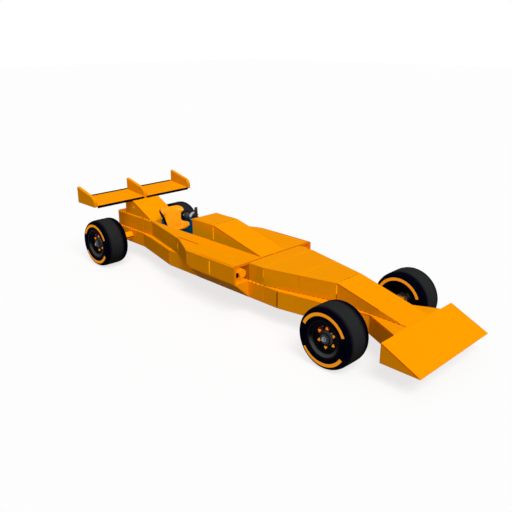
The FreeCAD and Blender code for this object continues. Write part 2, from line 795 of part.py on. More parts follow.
def knuckle(side):
    eye = KINGPIN_EYE_HALF_HEIGHT + RUNNING_GAP
    inner = KINGPIN_HALF_TRACK - KNUCKLE_HALF_WIDTH
    web = KINGPIN_HALF_TRACK + KINGPIN_EYE_RADIUS + KNUCKLE_EYE_GAP
    web_end = web + KNUCKLE_ARM
    x0 = X_FRONT_AXLE - KNUCKLE_HALF_WIDTH
    x1 = X_FRONT_AXLE + KNUCKLE_HALF_WIDTH
    top = AXLE_Z + eye
    bottom = AXLE_Z - eye
    body = box(x0, x1, web, web_end, bottom - KNUCKLE_ARM, top + KNUCKLE_ARM)
    body = body.fuse(box(x0, x1, inner, web_end, top, top + KNUCKLE_ARM))
    body = body.fuse(box(x0, x1, inner, web_end, bottom - KNUCKLE_ARM, bottom))
    foot = Vector(X_FRONT_AXLE, KINGPIN_HALF_TRACK, bottom - KNUCKLE_ARM)
    head = Vector(X_FRONT_AXLE, KINGPIN_HALF_TRACK, top + KNUCKLE_ARM)
    body = body.fuse(cylinder(KINGPIN_RADIUS, foot, head))
    return mirrored(body.fuse(spindle(X_FRONT_AXLE, web_end)), side)


# Rear wing

def board_z(x):
    """Height of the board's top face at x."""
    lead = X_COVER_TOP + REAR_WING_LEAD
    return REAR_WING_LEADING_Z + (lead - x) * REAR_WING_RISE / REAR_WING_CHORD


def rear_wing_board():
    lead = X_COVER_TOP + REAR_WING_LEAD
    trail = lead - REAR_WING_CHORD
    profile = [
        (lead, board_z(lead) - BOARD_THICKNESS),
        (lead, board_z(lead)),
        (trail, board_z(trail)),
        (trail, board_z(trail) - BOARD_THICKNESS),
    ]
    half = REAR_WING_HALF_SPAN - FIN_THICKNESS
    return eased(side_prism(profile, -half, half))


def end_fin(y0, y1):
    """Fin with an upright rear edge, a slanted top and a round front corner."""
    lead = X_COVER_TOP + REAR_WING_LEAD
    trail = lead - REAR_WING_CHORD
    shoulder_x = lead - FIN_NOSE_RADIUS
    nose_z = FIN_SHOULDER_Z - FIN_NOSE_RADIUS
    diagonal = FIN_NOSE_RADIUS * math.sqrt(0.5)

    def point(x, z):
        return Vector(x, 0, z)

    edges = [
        Part.makeLine(point(trail, FIN_FOOT_Z), point(trail, FIN_TOP_Z)),
        Part.makeLine(point(trail, FIN_TOP_Z), point(shoulder_x, FIN_SHOULDER_Z)),
        Part.Arc(
            point(shoulder_x, FIN_SHOULDER_Z),
            point(shoulder_x + diagonal, nose_z + diagonal),
            point(lead, nose_z),
        ).toShape(),
        Part.makeLine(point(lead, nose_z), point(lead, FIN_FOOT_Z)),
        Part.makeLine(point(lead, FIN_FOOT_Z), point(trail, FIN_FOOT_Z)),
    ]
    face = Part.Face(Part.Wire(edges))
    face.translate(Vector(0, y0, 0))
    return eased(face.extrude(Vector(0, y1 - y0, 0)))


def centre_fin():
    half = FIN_THICKNESS / 2
    lead = X_COVER_TOP + REAR_WING_LEAD
    trail = lead - REAR_WING_CHORD
    below = [
        (lead, FIN_FOOT_Z),
        (lead, board_z(lead)),
        (trail, board_z(trail)),
        (trail, FIN_FOOT_Z),
    ]
    return end_fin(-half, half).cut(side_prism(below, -half, half))


def wing_pylon():
    """Wedge between the engine cover's flat top and the board."""
    front = X_COVER_TOP
    rear = X_COVER_REAR
    profile = [
        (rear, COWL_Z),
        (front, COWL_Z),
        (front, board_z(front) - BOARD_THICKNESS),
        (rear, board_z(rear) - BOARD_THICKNESS),
    ]
    return side_prism(profile, -PYLON_HALF, PYLON_HALF)


def tow_eye():
    """Lug with a fore-and-aft hole, hanging below the tail."""
    rear = X_TAIL + TOW_EYE_INSET
    front = rear + TOW_EYE_THICKNESS
    centre_z = FLOOR_Z - TOW_EYE_DROP
    plate = cylinder(TOW_EYE_RADIUS, Vector(rear, 0, centre_z), Vector(front, 0, centre_z))
    root = box(rear, front, -TOW_EYE_RADIUS, TOW_EYE_RADIUS, centre_z, FLOOR_Z)
    above = box(
        rear,
        front,
        -TOW_EYE_RADIUS,
        TOW_EYE_RADIUS,
        FLOOR_Z,
        FLOOR_Z + TOW_EYE_RADIUS,
    )
    hole = cylinder(TOW_EYE_HOLE, Vector(rear, 0, centre_z), Vector(front, 0, centre_z))
    return plate.fuse(root).cut(above).cut(hole)


def all_parts():
    parts = {
        "rear_floor": rear_floor(),
        "floor_tub": floor_tub(),
        "shoulder_floor": shoulder_floor(),
        "nose_floor": nose_floor(),
        "front_wing": front_wing(),
        "engine_bay_body": engine_bay_body(),
        "firewall_body": firewall_body(),
        "engine_cover": engine_cover().fuse(wing_pylon()),
        "engine_block": engine_block(),
        "cockpit_surround": cockpit_surround(),
        "cockpit_liner": cockpit_liner(),
        "scuttle": scuttle(),
        "nose_plate": nose_plate(),
        "nose_cone": nose_cone(),
        "cowl": cowl(),
        "seat": seat(),
        "dash_panel": dash_panel(),
        "steering_column": steering_column(),
        "steering_wheel": steering_wheel(),
        "instrument_hood": instrument_hood(),
        "rear_axle": rear_axle(),
        "front_beam": front_beam(),
        "rear_wing_board": rear_wing_board(),
        "rear_wing_fin_centre": centre_fin(),
        "tow_eye": tow_eye(),
    }
    inner = REAR_WING_HALF_SPAN - FIN_THICKNESS
    for name, side in SIDES:
        parts["sidepod_deck_" + name] = sidepod_deck(side)
        parts["sidepod_wall_" + name] = sidepod_wall(side)
        parts["sidepod_undercut_" + name] = sidepod_undercut(side)
        parts["inlet_pipe_" + name] = inlet_pipe(side)
        parts["knuckle_" + name] = knuckle(side)
        parts["rear_wing_fin_" + name] = mirrored(end_fin(inner, REAR_WING_HALF_SPAN), side)
        for end, x in (("front", X_FRONT_AXLE), ("rear", X_REAR_AXLE)):
            parts["tyre_" + end + "_" + name] = tyre(x, side)
            parts["rim_" + end + "_" + name] = rim(x, side)
    return parts


os.makedirs("parts", exist_ok=True)
for node, shape in all_parts().items():
    shape.exportStep("parts/" + node + ".step")
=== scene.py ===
import json
import math

import bmesh
import bpy
from bpy.props import (
    BoolProperty,
    FloatProperty,
    FloatVectorProperty,
    IntProperty,
    PointerProperty,
)
from mathutils import Matrix, Vector


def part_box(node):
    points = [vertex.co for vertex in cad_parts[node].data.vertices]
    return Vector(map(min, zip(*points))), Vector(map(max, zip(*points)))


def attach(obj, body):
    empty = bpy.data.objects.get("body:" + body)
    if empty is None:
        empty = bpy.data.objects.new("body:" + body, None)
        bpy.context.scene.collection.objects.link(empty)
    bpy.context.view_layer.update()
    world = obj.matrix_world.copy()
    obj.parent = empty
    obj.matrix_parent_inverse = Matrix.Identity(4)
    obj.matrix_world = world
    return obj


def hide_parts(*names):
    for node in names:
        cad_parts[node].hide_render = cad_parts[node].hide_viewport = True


bl_info = {
    "name": "Open Wheel Racing Car Looks",
    "version": (1, 0, 0),
    "blender": (4, 5, 0),
    "location": "3D View > Sidebar > Racing Car",
    "description": "Paint, rubber, cockpit and stage for a single-seat racing car",
    "category": "Object",
}

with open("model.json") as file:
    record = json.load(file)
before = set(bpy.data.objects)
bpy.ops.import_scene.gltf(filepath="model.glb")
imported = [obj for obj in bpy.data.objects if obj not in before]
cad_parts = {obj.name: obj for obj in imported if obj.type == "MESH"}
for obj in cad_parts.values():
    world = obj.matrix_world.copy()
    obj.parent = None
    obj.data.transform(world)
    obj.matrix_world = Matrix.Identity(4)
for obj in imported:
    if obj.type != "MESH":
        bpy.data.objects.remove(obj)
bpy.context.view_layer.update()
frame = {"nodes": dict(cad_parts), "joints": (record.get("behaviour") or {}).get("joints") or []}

MM = 0.001
SIDES = (("left", 1), ("right", -1))
FORWARD, REARWARD, DOWN = (1, 0, 0), (-1, 0, 0), (0, 0, -1)
OUTSIDE = 2.0     # metres from the origin, clear of the body, where rays start
WHITE = (1.0, 1.0, 1.0)


def pair(*stems):
    return tuple(f"{stem}_{side}" for stem in stems for side, _ in SIDES)


LOWER_TIER = ("rear_floor", "floor_tub", "shoulder_floor", "nose_floor")
UPPER_TIER = ("engine_bay_body", "firewall_body", "cockpit_surround", "scuttle",
              "nose_plate", "nose_cone")
OUTER_PANELS = LOWER_TIER + UPPER_TIER + ("cowl",) + pair(
    "sidepod_deck", "sidepod_wall", "sidepod_undercut")
PAINTED_PANELS = OUTER_PANELS + (
    "front_wing", "engine_cover", "rear_wing_board", "rear_wing_fin_centre",
) + pair("rear_wing_fin", "inlet_pipe")


# Settings that a user would change

def colour_setting(name, description, default):
    return FloatVectorProperty(name=name, description=description, subtype="COLOR",
                               size=3, min=0, max=1, default=default)


def share_setting(name, description, default):
    return FloatProperty(name=name, description=description, min=0, max=1, default=default)


def length_setting(name, description, default):
    return FloatProperty(name=name, description=description, subtype="DISTANCE",
                         unit="LENGTH", default=default)


class CarPaintSettings(bpy.types.PropertyGroup):
    body_colour: colour_setting("Body", "Body paint", (0.95, 0.318, 0.0))
    stripe_colour: colour_setting("Tyre stripe", "Painted arcs on the tyre walls",
                                  (0.92, 0.31, 0.012))
    liner_colour: colour_setting("Cockpit liner", "Painted inside of the cockpit",
                                 (0.0, 0.115, 0.26))
    accent_colour: colour_setting("Washer", "Anodised washers on the wheel face",
                                  (0.22, 0.004, 0.006))
    gloss: share_setting("Clear coat", "Strength of the clear coat", 0.015)
    # Share of painted edge light: painted shade as a dark red line on upright edges of the body
    # paint; on the axle tubes, paler edges that are partly wear and partly painted highlight.
    painted_edge_light: share_setting("Edge wear", "How far the edges are rubbed pale", 0.5)


class CarWheelSettings(bpy.types.PropertyGroup):
    rubber_colour: colour_setting("Rubber", "Tyre rubber", (0.0009, 0.0010, 0.0048))
    # The paler tread band is partly scuffing and partly painted sheen where the crown is lit.
    worn_lit_tread_colour: colour_setting("Worn tread", "Scuffed band of the tread",
                                 (0.022, 0.0225, 0.0225))
    stripe_radius: length_setting("Stripe radius", "Outer radius of the wall stripe", 0.286)
    stripe_width: length_setting("Stripe width", "Width of the wall stripe", 0.036)
    stud_circle: length_setting("Stud circle", "Radius of the circle of clips", 0.104)
    stud_count: IntProperty(
        name="Clips", description="Clips round the wheel face", min=3, max=12, default=6)
    turn_steps: IntProperty(
        name="Steps", description="Steps round each wheel", min=32, max=256, default=128)


class CarTrimSettings(bpy.types.PropertyGroup):
    rivet_radius: length_setting("Rivet radius", "Radius of a rivet head", 0.0055)
    rivet_pitch: length_setting("Rivet pitch", "Distance between rivets", 0.075)
    pedals: BoolProperty(
        name="Pedals", description="Put pedals in the footwell", default=True)


class CarStageSettings(bpy.types.PropertyGroup):
    lens: FloatProperty(
        name="Lens", description="Focal length of the camera",
        subtype="DISTANCE_CAMERA", unit="CAMERA", default=43.71)
    sun_strength: FloatProperty(
        name="Key light", description="Strength of the broad key light",
        min=0, default=3.15)
    ambient: FloatProperty(
        name="Fill light", description="Strength of the light from all round",
        min=0, default=0.18)


# Shaders

class Wire:
    """A value in a node tree that takes part in sums."""

    def __init__(self, tree, socket):
        self.tree = tree
        self.socket = socket

    def maths(self, operation, *others, flip=False, clamp=False):
        node = self.tree.nodes.new("ShaderNodeMath")
        node.operation = operation
        node.use_clamp = clamp
        terms = [self, *others]
        if flip:
            terms.reverse()
        for place, term in enumerate(terms):
            feed(self.tree, node.inputs[place], term)
        return Wire(self.tree, node.outputs[0])

    def __add__(self, other):
        return self.maths("ADD", other)

    def __sub__(self, other):
        return self.maths("SUBTRACT", other)

    def __rsub__(self, other):
        return self.maths("SUBTRACT", other, flip=True)

    def __mul__(self, other):
        return self.maths("MULTIPLY", other)

    def __abs__(self):
        return self.maths("ABSOLUTE")

    __radd__ = __add__
    __rmul__ = __mul__

    def clamped(self):
        return self.maths("ADD", 0.0, clamp=True)


def feed(tree, socket, value):
    """Give a socket a link or a plain value."""
    if isinstance(value, Wire):
        tree.links.new(value.socket, socket)
    elif hasattr(value, "__len__") and len(socket.default_value) == 4 and len(value) == 3:
        socket.default_value = (*value, 1.0)
    else:
        socket.default_value = value


class Tree:
    """The nodes of a material or a world, started afresh."""

    def __init__(self, owner):
        owner.use_nodes = True
        self.tree = owner.node_tree
        self.tree.nodes.clear()

    def node(self, kind, settings=None, values=None, out=0):
        """Any node: its type, its settings, its sockets' values or links."""
        node = self.tree.nodes.new(kind)
        for key, value in (settings or {}).items():
            setattr(node, key, value)
        for key, value in (values or {}).items():
            feed(self.tree, node.inputs[key], value)
        return Wire(self.tree, node.outputs[out]) if node.outputs else None

    def seen(self):
        """1 for rays that show a thing or its mirror image, 0 for bounced light."""
        camera, glossy, clear = [
            self.node("ShaderNodeLightPath", out=f"Is {kind} Ray")
            for kind in ("Camera", "Glossy", "Transmission")]
        return (camera + glossy + clear).clamped()


class Finish(Tree):
    """One material and its Principled shader."""

    def __init__(self, name, **constants):
        self.material = bpy.data.materials.new(name)
        super().__init__(self.material)
        surface = self.node("ShaderNodeBsdfPrincipled")
        self.node("ShaderNodeOutputMaterial", None, {"Surface": surface})
        self.inputs = surface.socket.node.inputs
        self.set(**constants)

    def set(self, **values):
        for key, value in values.items():
            feed(self.tree, self.inputs[key.replace("_", " ")], value)

    def done(self, layers, roughness, bump, coat=None):
        """Join up what varies.

        layers is a colour and then a (share, colour) for each film over it; bump is
        (height, distance, strength).
        """
        colour, *films = layers
        for share, film in films:
            colour = self.mix(share, colour, film)
        normal = self.node("ShaderNodeBump", None,
                           dict(zip(("Height", "Distance", "Strength"), bump)))
        self.set(Base_Color=colour, Roughness=roughness, Normal=normal)
        if self.inputs["Emission Strength"].default_value:
            self.set(Emission_Color=colour)
        if coat:
            self.set(Coat_Weight=coat.clamped())
        return self.material

    def place(self):
        return self.node("ShaderNodeTexCoord", out="Object")

    def part(self, vector, axis):
        """One of a vector's three numbers."""
        return self.node("ShaderNodeSeparateXYZ", None, {0: vector}, out=axis)

    def height(self):
        return self.part(self.place(), 2)

    def stretched(self, *scale):
        return self.node("ShaderNodeVectorMath", {"operation": "MULTIPLY"},
                         {0: self.place(), 1: scale})

    def noise(self, scale, detail=3.0, rough=0.55, where=None):
        return self.node("ShaderNodeTexNoise", None, {
            "Vector": where or self.place(), "Scale": scale, "Detail": detail,
            "Roughness": rough})

    def cells(self, scale):
        return self.node("ShaderNodeTexVoronoi", None,
                         {"Vector": self.place(), "Scale": scale}, out="Distance")

    def ramp(self, value, low, high):
        """0 below low, 1 above high, smooth between."""
        return self.node("ShaderNodeMapRange", {"interpolation_type": "SMOOTHSTEP"},
                         {"Value": value, "From Min": low, "From Max": high})

    def mix(self, share, first, second):
        """Mix two colours by a share, which is held between 0 and 1."""
        return self.node("ShaderNodeMix", {"data_type": "RGBA", "clamp_factor": True},
                         {0: share, 6: first, 7: second}, out=2)

    def normal(self):
        return self.node("ShaderNodeNewGeometry", out="Normal")

    def edges(self, radius):
        """1 on outer edges and in grooves, 0 on flats."""
        rounded = self.node("ShaderNodeBevel", {"samples": 6}, {"Radius": radius})
        level = self.node("ShaderNodeVectorMath", {"operation": "DOT_PRODUCT"},
                          {0: rounded, 1: self.normal()}, out="Value")
        return ((1.0 - level) * 6.0).clamped()


def shade(colour, factor):
    return tuple(min(1.0, channel * factor) for channel in colour)


def painted(name, colour, gloss, edge_light_share, foot=None):
    """Sprayed paint: fine mottle, orange peel, a few chips, and a dark red line of painted shade
    along edges and in grooves of upright faces.

    With a foot, (height, reach, share of red), the sides are painted darker and browner low
    down, as painted shade.
    """
    finish = Finish(name, Specular_IOR_Level=0.002, Coat_Roughness=0.25)
    red, green, blue = colour
    cloud = finish.noise(3.2, 2.0)
    grain = finish.noise(420.0, 2.0)
    chips = finish.ramp(finish.cells(38.0), 0.035, 0.02)
    patches = finish.ramp(finish.noise(5.0), 0.6, 0.68)
    edge = finish.edges(0.022)
    upright = finish.ramp(abs(finish.part(finish.normal(), 2)), 0.6, 0.2)
    layers = [shade(colour, 0.965), (cloud * 0.6 + grain * 0.4, shade(colour, 1.03)),
              # Painted shade: upright faces turn dark red near edges and in grooves.
              (edge * upright * (edge_light_share * 2.0), (red * 0.75, green * 0.3, blue)),
              (chips * patches * 0.35, shade(colour, 0.62))]
    # Painted shade: darker, browner colour low on the sides.
    if foot:
        level, reach, red_share = foot
        low = finish.ramp(finish.height(), level + reach, level)
        sideways = finish.ramp(abs(finish.part(finish.normal(), 1)), 0.5, 0.85)
        layers.append((low * sideways * (0.92 + grain * 0.16),
                       (red * red_share, green * 0.92, blue)))
    peel = grain * 0.35 + finish.noise(60.0, 1.0) * 0.65
    return finish.done(layers, 0.5 + cloud * 0.1 + edge * 0.08, (peel, 0.00025, 0.35),
                       gloss - edge * 0.02)


def axle_paint(colour, gloss, edge_light_share, seam_height):
    """Paint on the axle tubes: a dark joint line along the middle, painted shade on the lower
    half, paler edges and a glow of painted light.
    """
    # The emission is a glow of painted light that lifts the tube where the wheel shades it.
    finish = Finish("axle_paint", Specular_IOR_Level=0.01, Coat_Roughness=0.25,
                    Emission_Strength=0.16)
    height = finish.height()
    line = 1.0 - finish.ramp(abs(height - (seam_height - 0.006)), 0.0065, 0.009)
    shaded_lower_half = finish.ramp(height, seam_height, seam_height - 0.02)
    cloud = finish.noise(6.0)
    # Painted shade on the lower half.
    layers = (shade(colour, 0.94), (cloud, colour), (shaded_lower_half * 0.35, shade(colour, 0.6)),
              (finish.edges(0.003) * (edge_light_share * 0.3), shade(colour, 1.1)),
              (line, (0.012, 0.008, 0.006)))
    return finish.done(layers, 0.45 + cloud * 0.15,
                       (finish.noise(90.0) * 0.4 - line, 0.0008, 0.5), gloss - line * gloss)


def rubber(name, dark, worn_and_lit, tread_half, centre_half):
    """Tyre rubber: a paler band across the tread, partly scuffing and partly painted sheen where
    the crown is lit; dull near-black shoulders and walls.
    """
    finish = Finish(name, Specular_IOR_Level=0.004)
    across = abs(abs(finish.part(finish.place(), 1)) - centre_half)
    # Painted sheen: the band is paler on the lit crown and fades to dark at the shoulders.
    worn_lit_band = finish.ramp(across, tread_half, tread_half - 0.065)
    fine = finish.noise(260.0, 4.0, 0.7)
    drag = finish.noise(22.0, 3.0, 0.6, finish.stretched(1.0, 6.0, 1.0))
    dust = finish.ramp(finish.noise(14.0, 5.0, 0.7), 0.42, 0.75)
    layers = (dark, (worn_lit_band * (0.62 + drag * 0.6), worn_and_lit), (dust * worn_lit_band * 0.22, shade(worn_and_lit, 1.25)))
    return finish.done(layers, 0.62 + worn_lit_band * 0.16 + fine * 0.12,
                       (fine * 0.6 + drag * 0.4, 0.0007, 0.45))


def wall_paint(name, colour, glow=0.36):
    """Paint rolled on rubber: thin, with the rubber's grain showing, and a glow of painted
    light.
    """
    finish = Finish(name, Specular_IOR_Level=0.01, Emission_Strength=glow)
    grain = finish.noise(240.0, 4.0, 0.7)
    rubbed = finish.ramp(finish.noise(46.0, 4.0, 0.75), 0.66, 0.74)
    layers = (colour, (grain * 0.5, shade(colour, 0.88)), (rubbed * 0.35, shade(colour, 0.45)))
    return finish.done(layers, 0.6 + grain * 0.2, (grain, 0.0005, 0.4))


def edging(name, first, second, scale, roughness, glow):
    """Thin strip at a panel's edge, with a fine grain between two colours, and a glow of painted
    light when glow is set.
    """
    finish = Finish(name, Specular_IOR_Level=0.01, Emission_Strength=glow)
    grain = finish.noise(scale, 3.0)
    return finish.done((first, (grain, second)), roughness + grain * 0.2,
                       (grain, 0.0002, 0.3))


def seal_rubber(name, colour, glow=0.0):
    return edging(name, shade(colour, 0.7), shade(colour, 1.3), 300.0, 0.7, glow)


def black_enamel(name, colour, roughness, coat):
    """Stoved black enamel with fine pits and paler rubbed edges."""
    finish = Finish(name, Coat_Roughness=0.2, Specular_IOR_Level=0.02)
    cloud = finish.noise(12.0)
    rubbed = tuple(channel * 1.5 + 0.008 for channel in colour)
    layers = (colour, (cloud, shade(colour, 1.6)), (finish.edges(0.002) * 0.3, rubbed))
    return finish.done(layers, roughness + cloud * 0.12,
                       (finish.noise(310.0, 3.0, 0.6), 0.0003, 0.3), coat - cloud * 0.1)


def turned_metal(name, colour, roughness, scale=(4.0, 400.0, 4.0)):
    """Machined metal with tool marks and darker handled patches."""
    finish = Finish(name, Metallic=1.0)
    marks = finish.noise(1.0, 2.0, 0.5, finish.stretched(*scale))
    stain = finish.ramp(finish.noise(30.0, 4.0), 0.45, 0.7)
    layers = (shade(colour, 0.85), (marks, colour), (stain * 0.35, shade(colour, 0.55)),
              (finish.edges(0.0015) * 0.6, shade(colour, 1.3)))
    return finish.done(layers, roughness + marks * 0.15 + stain * 0.08, (marks, 0.0002, 0.35))


def cast_metal(name, colour):
    """Sand-cast alloy: pitted skin with oil in its hollows."""
    finish = Finish(name, Metallic=0.9)
    skin = finish.noise(190.0, 5.0, 0.7)
    oil = finish.ramp(finish.noise(9.0, 4.0), 0.5, 0.7)
    layers = (shade(colour, 0.75), (skin, colour), (oil * 0.6, shade(colour, 0.3)))
    return finish.done(layers, 0.62 - oil * 0.2 + skin * 0.1, (skin, 0.001, 0.6))


def moulded(name, colour, roughness=0.42, pebble_scale=900.0, coat=0.1):
    """Moulded skin: fine pebbled grain, creases and a soft shine."""
    finish = Finish(name, Specular_IOR_Level=0.02, Coat_Roughness=0.15)
    cloud = finish.noise(7.0)
    crease = finish.ramp(finish.noise(30.0, 4.0, 0.7), 0.62, 0.72)
    layers = (shade(colour, 0.95), (cloud, shade(colour, 1.04)),
              (crease * 0.1 + finish.edges(0.003) * 0.08, shade(colour, 0.7)))
    pebbles = finish.cells(pebble_scale) * 0.7 + cloud * 0.3
    return finish.done(layers, roughness + cloud * 0.1, (pebbles, 0.0004, 0.3),
                       coat - cloud * 0.03)


def woven(name, dark, pale, pitch):
    """Twill-woven composite under lacquer."""
    finish = Finish(name, Coat_Roughness=0.12, Specular_IOR_Level=0.45)
    x, y, z = [finish.part(finish.place(), axis) for axis in range(3)]
    warp = ((x + z) * (math.tau / pitch)).maths("SINE")
    weft = ((y + z * 0.6) * (math.tau / pitch)).maths("SINE")
    weave = (warp * weft * 0.5 + 0.5).clamped()
    cloud = finish.noise(11.0)
    return finish.done((dark, (weave, pale)), 0.35 + weave * 0.15 + cloud * 0.08,
                       (weave, 0.0003, 0.3), 0.7 - cloud * 0.2)


def liner_finish(colour):
    """Satin-painted liner, scuffed low down."""
    finish = Finish("blue_liner", Specular_IOR_Level=0.01, Coat_Roughness=0.3)
    scuff = finish.ramp(finish.noise(24.0, 5.0, 0.75, finish.stretched(1.0, 1.0, 4.0)),
                        0.55, 0.7)
    low = finish.ramp(finish.height(), 0.6, 0.46)
    grain = finish.noise(300.0, 3.0)
    layers = (shade(colour, 0.9), (grain * 0.6, shade(colour, 1.08)),
              (scuff * low * 0.5, shade(colour, 0.5)))
    return finish.done(layers, 0.5 + grain * 0.12, (grain, 0.0003, 0.4), 0.03 - scuff * 0.02)


def bevel_finish(colour, axle_height):
    """Mouth of the rim: grey with scuffs in its lower half as painted light, near-black navy
    above.
    """
    finish = Finish("bevel_enamel", Specular_IOR_Level=0.01)
    # Painted light: the lower half turns grey.
    lower = finish.ramp(finish.height(), axle_height + 0.01, axle_height - 0.11)
    scuff = finish.noise(60.0, 4.0, 0.7, finish.stretched(1.0, 0.2, 1.0))
    layers = ((0.0012, 0.0014, 0.005), (lower * (0.7 + scuff * 0.6), colour))
    return finish.done(layers, 0.5 + scuff * 0.2, (scuff, 0.0003, 0.3))


def boss_finish(name, lit_colour, lower, height):
    """Blue enamel painted grey along its top as painted light, and darker blue below."""
    finish = Finish(name, Specular_IOR_Level=0.02, Coat_Roughness=0.3)
    # Painted light: grey along the top, dark blue below.
    lit_top = finish.ramp(finish.height(), height - 0.03, height + 0.03)
    cloud = finish.noise(60.0, 4.0)
    layers = (lower, (lit_top * (0.7 + cloud * 0.6), lit_colour))
    return finish.done(layers, 0.5 + cloud * 0.2, (cloud, 0.0002, 0.3), 0.1 - cloud * 0.05)


def blank_glass():
    """Dark blank screen with faint smears."""
    finish = Finish("blank_screen", Specular_IOR_Level=0.5, Coat_Roughness=0.05)
    smear = finish.ramp(finish.noise(60.0, 4.0, 0.7, finish.stretched(1.0, 1.0, 0.3)),
                        0.5, 0.75)
    layers = ((0.004, 0.005, 0.007), (smear * 0.4, (0.02, 0.022, 0.026)))
    return finish.done(layers, 0.1 + smear * 0.3, (smear, 0.00005, 0.2), 0.8 - smear * 0.3)


# Meshes

def piece(name, shape, material, body="chassis", sharp=35.0, replaces=()):
    """Make an object of (points, faces), or a list of them, and fix it to a body."""
    points, faces = merged(*shape) if isinstance(shape, list) else shape
    bm = bmesh.new()
    verts = [bm.verts.new(point) for point in points]
    for face in faces:
        bm.faces.new([verts[index] for index in face])
    bmesh.ops.remove_doubles(bm, verts=bm.verts, dist=1e-6)
    bmesh.ops.recalc_face_normals(bm, faces=bm.faces)
    mesh = bpy.data.meshes.new(name)
    bm.to_mesh(mesh)
    bm.free()
    mesh.shade_smooth()
    mesh.set_sharp_from_angle(angle=math.radians(sharp))
    mesh.materials.append(material)
    obj = bpy.data.objects.new(name, mesh)
    bpy.context.scene.collection.objects.link(obj)
    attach(obj, body)
    if replaces:
        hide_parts(*replaces)


def merged(*shapes):
    """Several (points, faces) as one."""
    points, faces = [], []
    for more_points, more_faces in shapes:
        start = len(points)
        points.extend(more_points)
        faces.extend([[start + index for index in face] for face in more_faces])
    return points, faces


def moved(shape, matrix):
    points, faces = shape
    if matrix.determinant() < 0:
        faces = [list(reversed(face)) for face in faces]
    return [matrix @ Vector(point) for point in points], faces


def at(x, y, z):
    return Matrix.Translation((x, y, z))


def frame_at(origin, out, up=(0, 0, 1)):
    """Matrix whose Z is out, whose Y is near up, at origin."""
    z = Vector(out).normalized()
    x = Vector(up).cross(z).normalized()
    matrix = Matrix((x, z.cross(x), z)).transposed().to_4x4()
    matrix.translation = Vector(origin)
    return matrix


def arc(radius, first, last, steps):
    """Points (x, y) round a circle from one angle to another, in degrees."""
    turns = [math.radians(first + (last - first) * step / steps) for step in range(steps + 1)]
    return [(radius * math.cos(turn), radius * math.sin(turn)) for turn in turns]


def loft(rings, closed=False, caps=True):
    """Skin over rings of equal length; closed joins the last to the first."""
    count = len(rings[0])
    faces = []
    for row in range(len(rings) if closed else len(rings) - 1):
        start, end = row * count, (row + 1) % len(rings) * count
        for place in range(count):
            after = (place + 1) % count
            faces.append([start + place, start + after, end + after, end + place])
    if caps and not closed:
        faces.append(list(range(count - 1, -1, -1)))
        faces.append([(len(rings) - 1) * count + place for place in range(count)])
    return [point for ring in rings for point in ring], faces


def lathe(profile, steps, closed=False):
    """Turn (radius, y) points about the Y axis."""
    rings = [[Vector((x, y, z)) for x, z in arc(radius, 0, 360, steps)[:-1]]
             for radius, y in profile]
    return loft(rings, closed=closed, caps=not closed)


def turned(profile, steps, matrix, closed=False):
    """Turn (radius, height) points about the Z axis of a matrix."""
    return moved(lathe(profile, steps, closed), matrix @ Matrix.Rotation(math.pi / 2, 4, "X"))


def sweep(path, radius, sides, closed=False):
    """A tube along points; radius is a number or one number a point."""
    rings = []
    normal = None
    for place, point in enumerate(path):
        before = path[place - 1] if place or closed else point
        after = path[(place + 1) % len(path)] if place < len(path) - 1 or closed else point
        along = (after - before).normalized()
        if normal is None:
            normal = along.orthogonal().normalized()
        normal = (normal - along * normal.dot(along)).normalized()
        side = along.cross(normal)
        size = radius[place] if hasattr(radius, "__len__") else radius
        rings.append([point + normal * x + side * y
                      for x, y in arc(size, 0, 360, sides)[:-1]])
    return loft(rings, closed=closed)


def slab(outline, thickness, bevel, matrix):
    """A plate of an XY outline with rounded edges, put in place by a matrix."""
    bm = bmesh.new()
    base = bm.faces.new([bm.verts.new((x, y, 0)) for x, y in outline])
    lifted = bmesh.ops.extrude_face_region(bm, geom=[base])
    top = [item for item in lifted["geom"] if isinstance(item, bmesh.types.BMVert)]
    bmesh.ops.translate(bm, verts=top, vec=(0, 0, thickness))
    bmesh.ops.bevel(bm, geom=bm.edges[:], offset=bevel, segments=2, profile=0.5,
                    affect="EDGES", clamp_overlap=True)
    bm.verts.index_update()
    shape = ([vert.co.copy() for vert in bm.verts],
             [[vert.index for vert in face.verts] for face in bm.faces])
    bm.free()
    return moved(shape, matrix)


def plate(size, thickness, bevel, place, out=None):
    """An oblong slab (width, height, corner) at a place, facing up or out."""
    matrix = frame_at(place, out) if out else at(*place)
    return slab(oblong(*size), thickness, bevel, matrix)


def oblong(width, height, corner=0.0):
    """Outline of a rectangle, with round corners if corner is given."""
    x, y = width / 2, height / 2
    if not corner:
        return [(-x, -y), (x, -y), (x, y), (-x, y)]
    outline = []
    for first, side, up in ((0, 1, 1), (90, -1, 1), (180, -1, -1), (270, 1, -1)):
        outline += [(side * (x - corner) + across, up * (y - corner) + rise)
                    for across, rise in arc(corner, first, first + 90, 5)]
    return outline


# Places taken from the frame

def wheel_places():
    """Each wheel's name, body, centre and outward sign."""
    places = []
    for end in ("front", "rear"):
        for name, side in SIDES:
            low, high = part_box(f"tyre_{end}_{name}")
            places.append((f"{end}_{name}", f"{end}_{name}_wheel", (low + high) / 2, side))
    return places


def put_on_wheel(shape, centre, side):
    """Move a shape made about the origin, outer face to +Y, onto a wheel."""
    return moved(shape, Matrix.Translation(centre) @ Matrix.Diagonal((1, side, 1, 1)))


def hit(names, origin, direction):
    """First point and normal that a ray meets on the named nodes, or None."""
    origin, direction = Vector(origin), Vector(direction)
    best = None
    for name in names:
        found, place, normal, _ = frame["nodes"][name].ray_cast(origin, direction)
        if found and (best is None
                      or (place - origin).length < (best[0] - origin).length):
            best = (place, normal)
    return best


def hit_side(names, side, x, height):
    """First point and normal on the car's side, from outside inward."""
    return hit(names, (x, side * OUTSIDE, height), (0, -side, 0))


def hit_top(names, x, y):
    return hit(names, (x, y, OUTSIDE), DOWN)


# Operators

class CarOperator:
    """What every step of the car shares."""
    bl_options = {"REGISTER", "UNDO"}


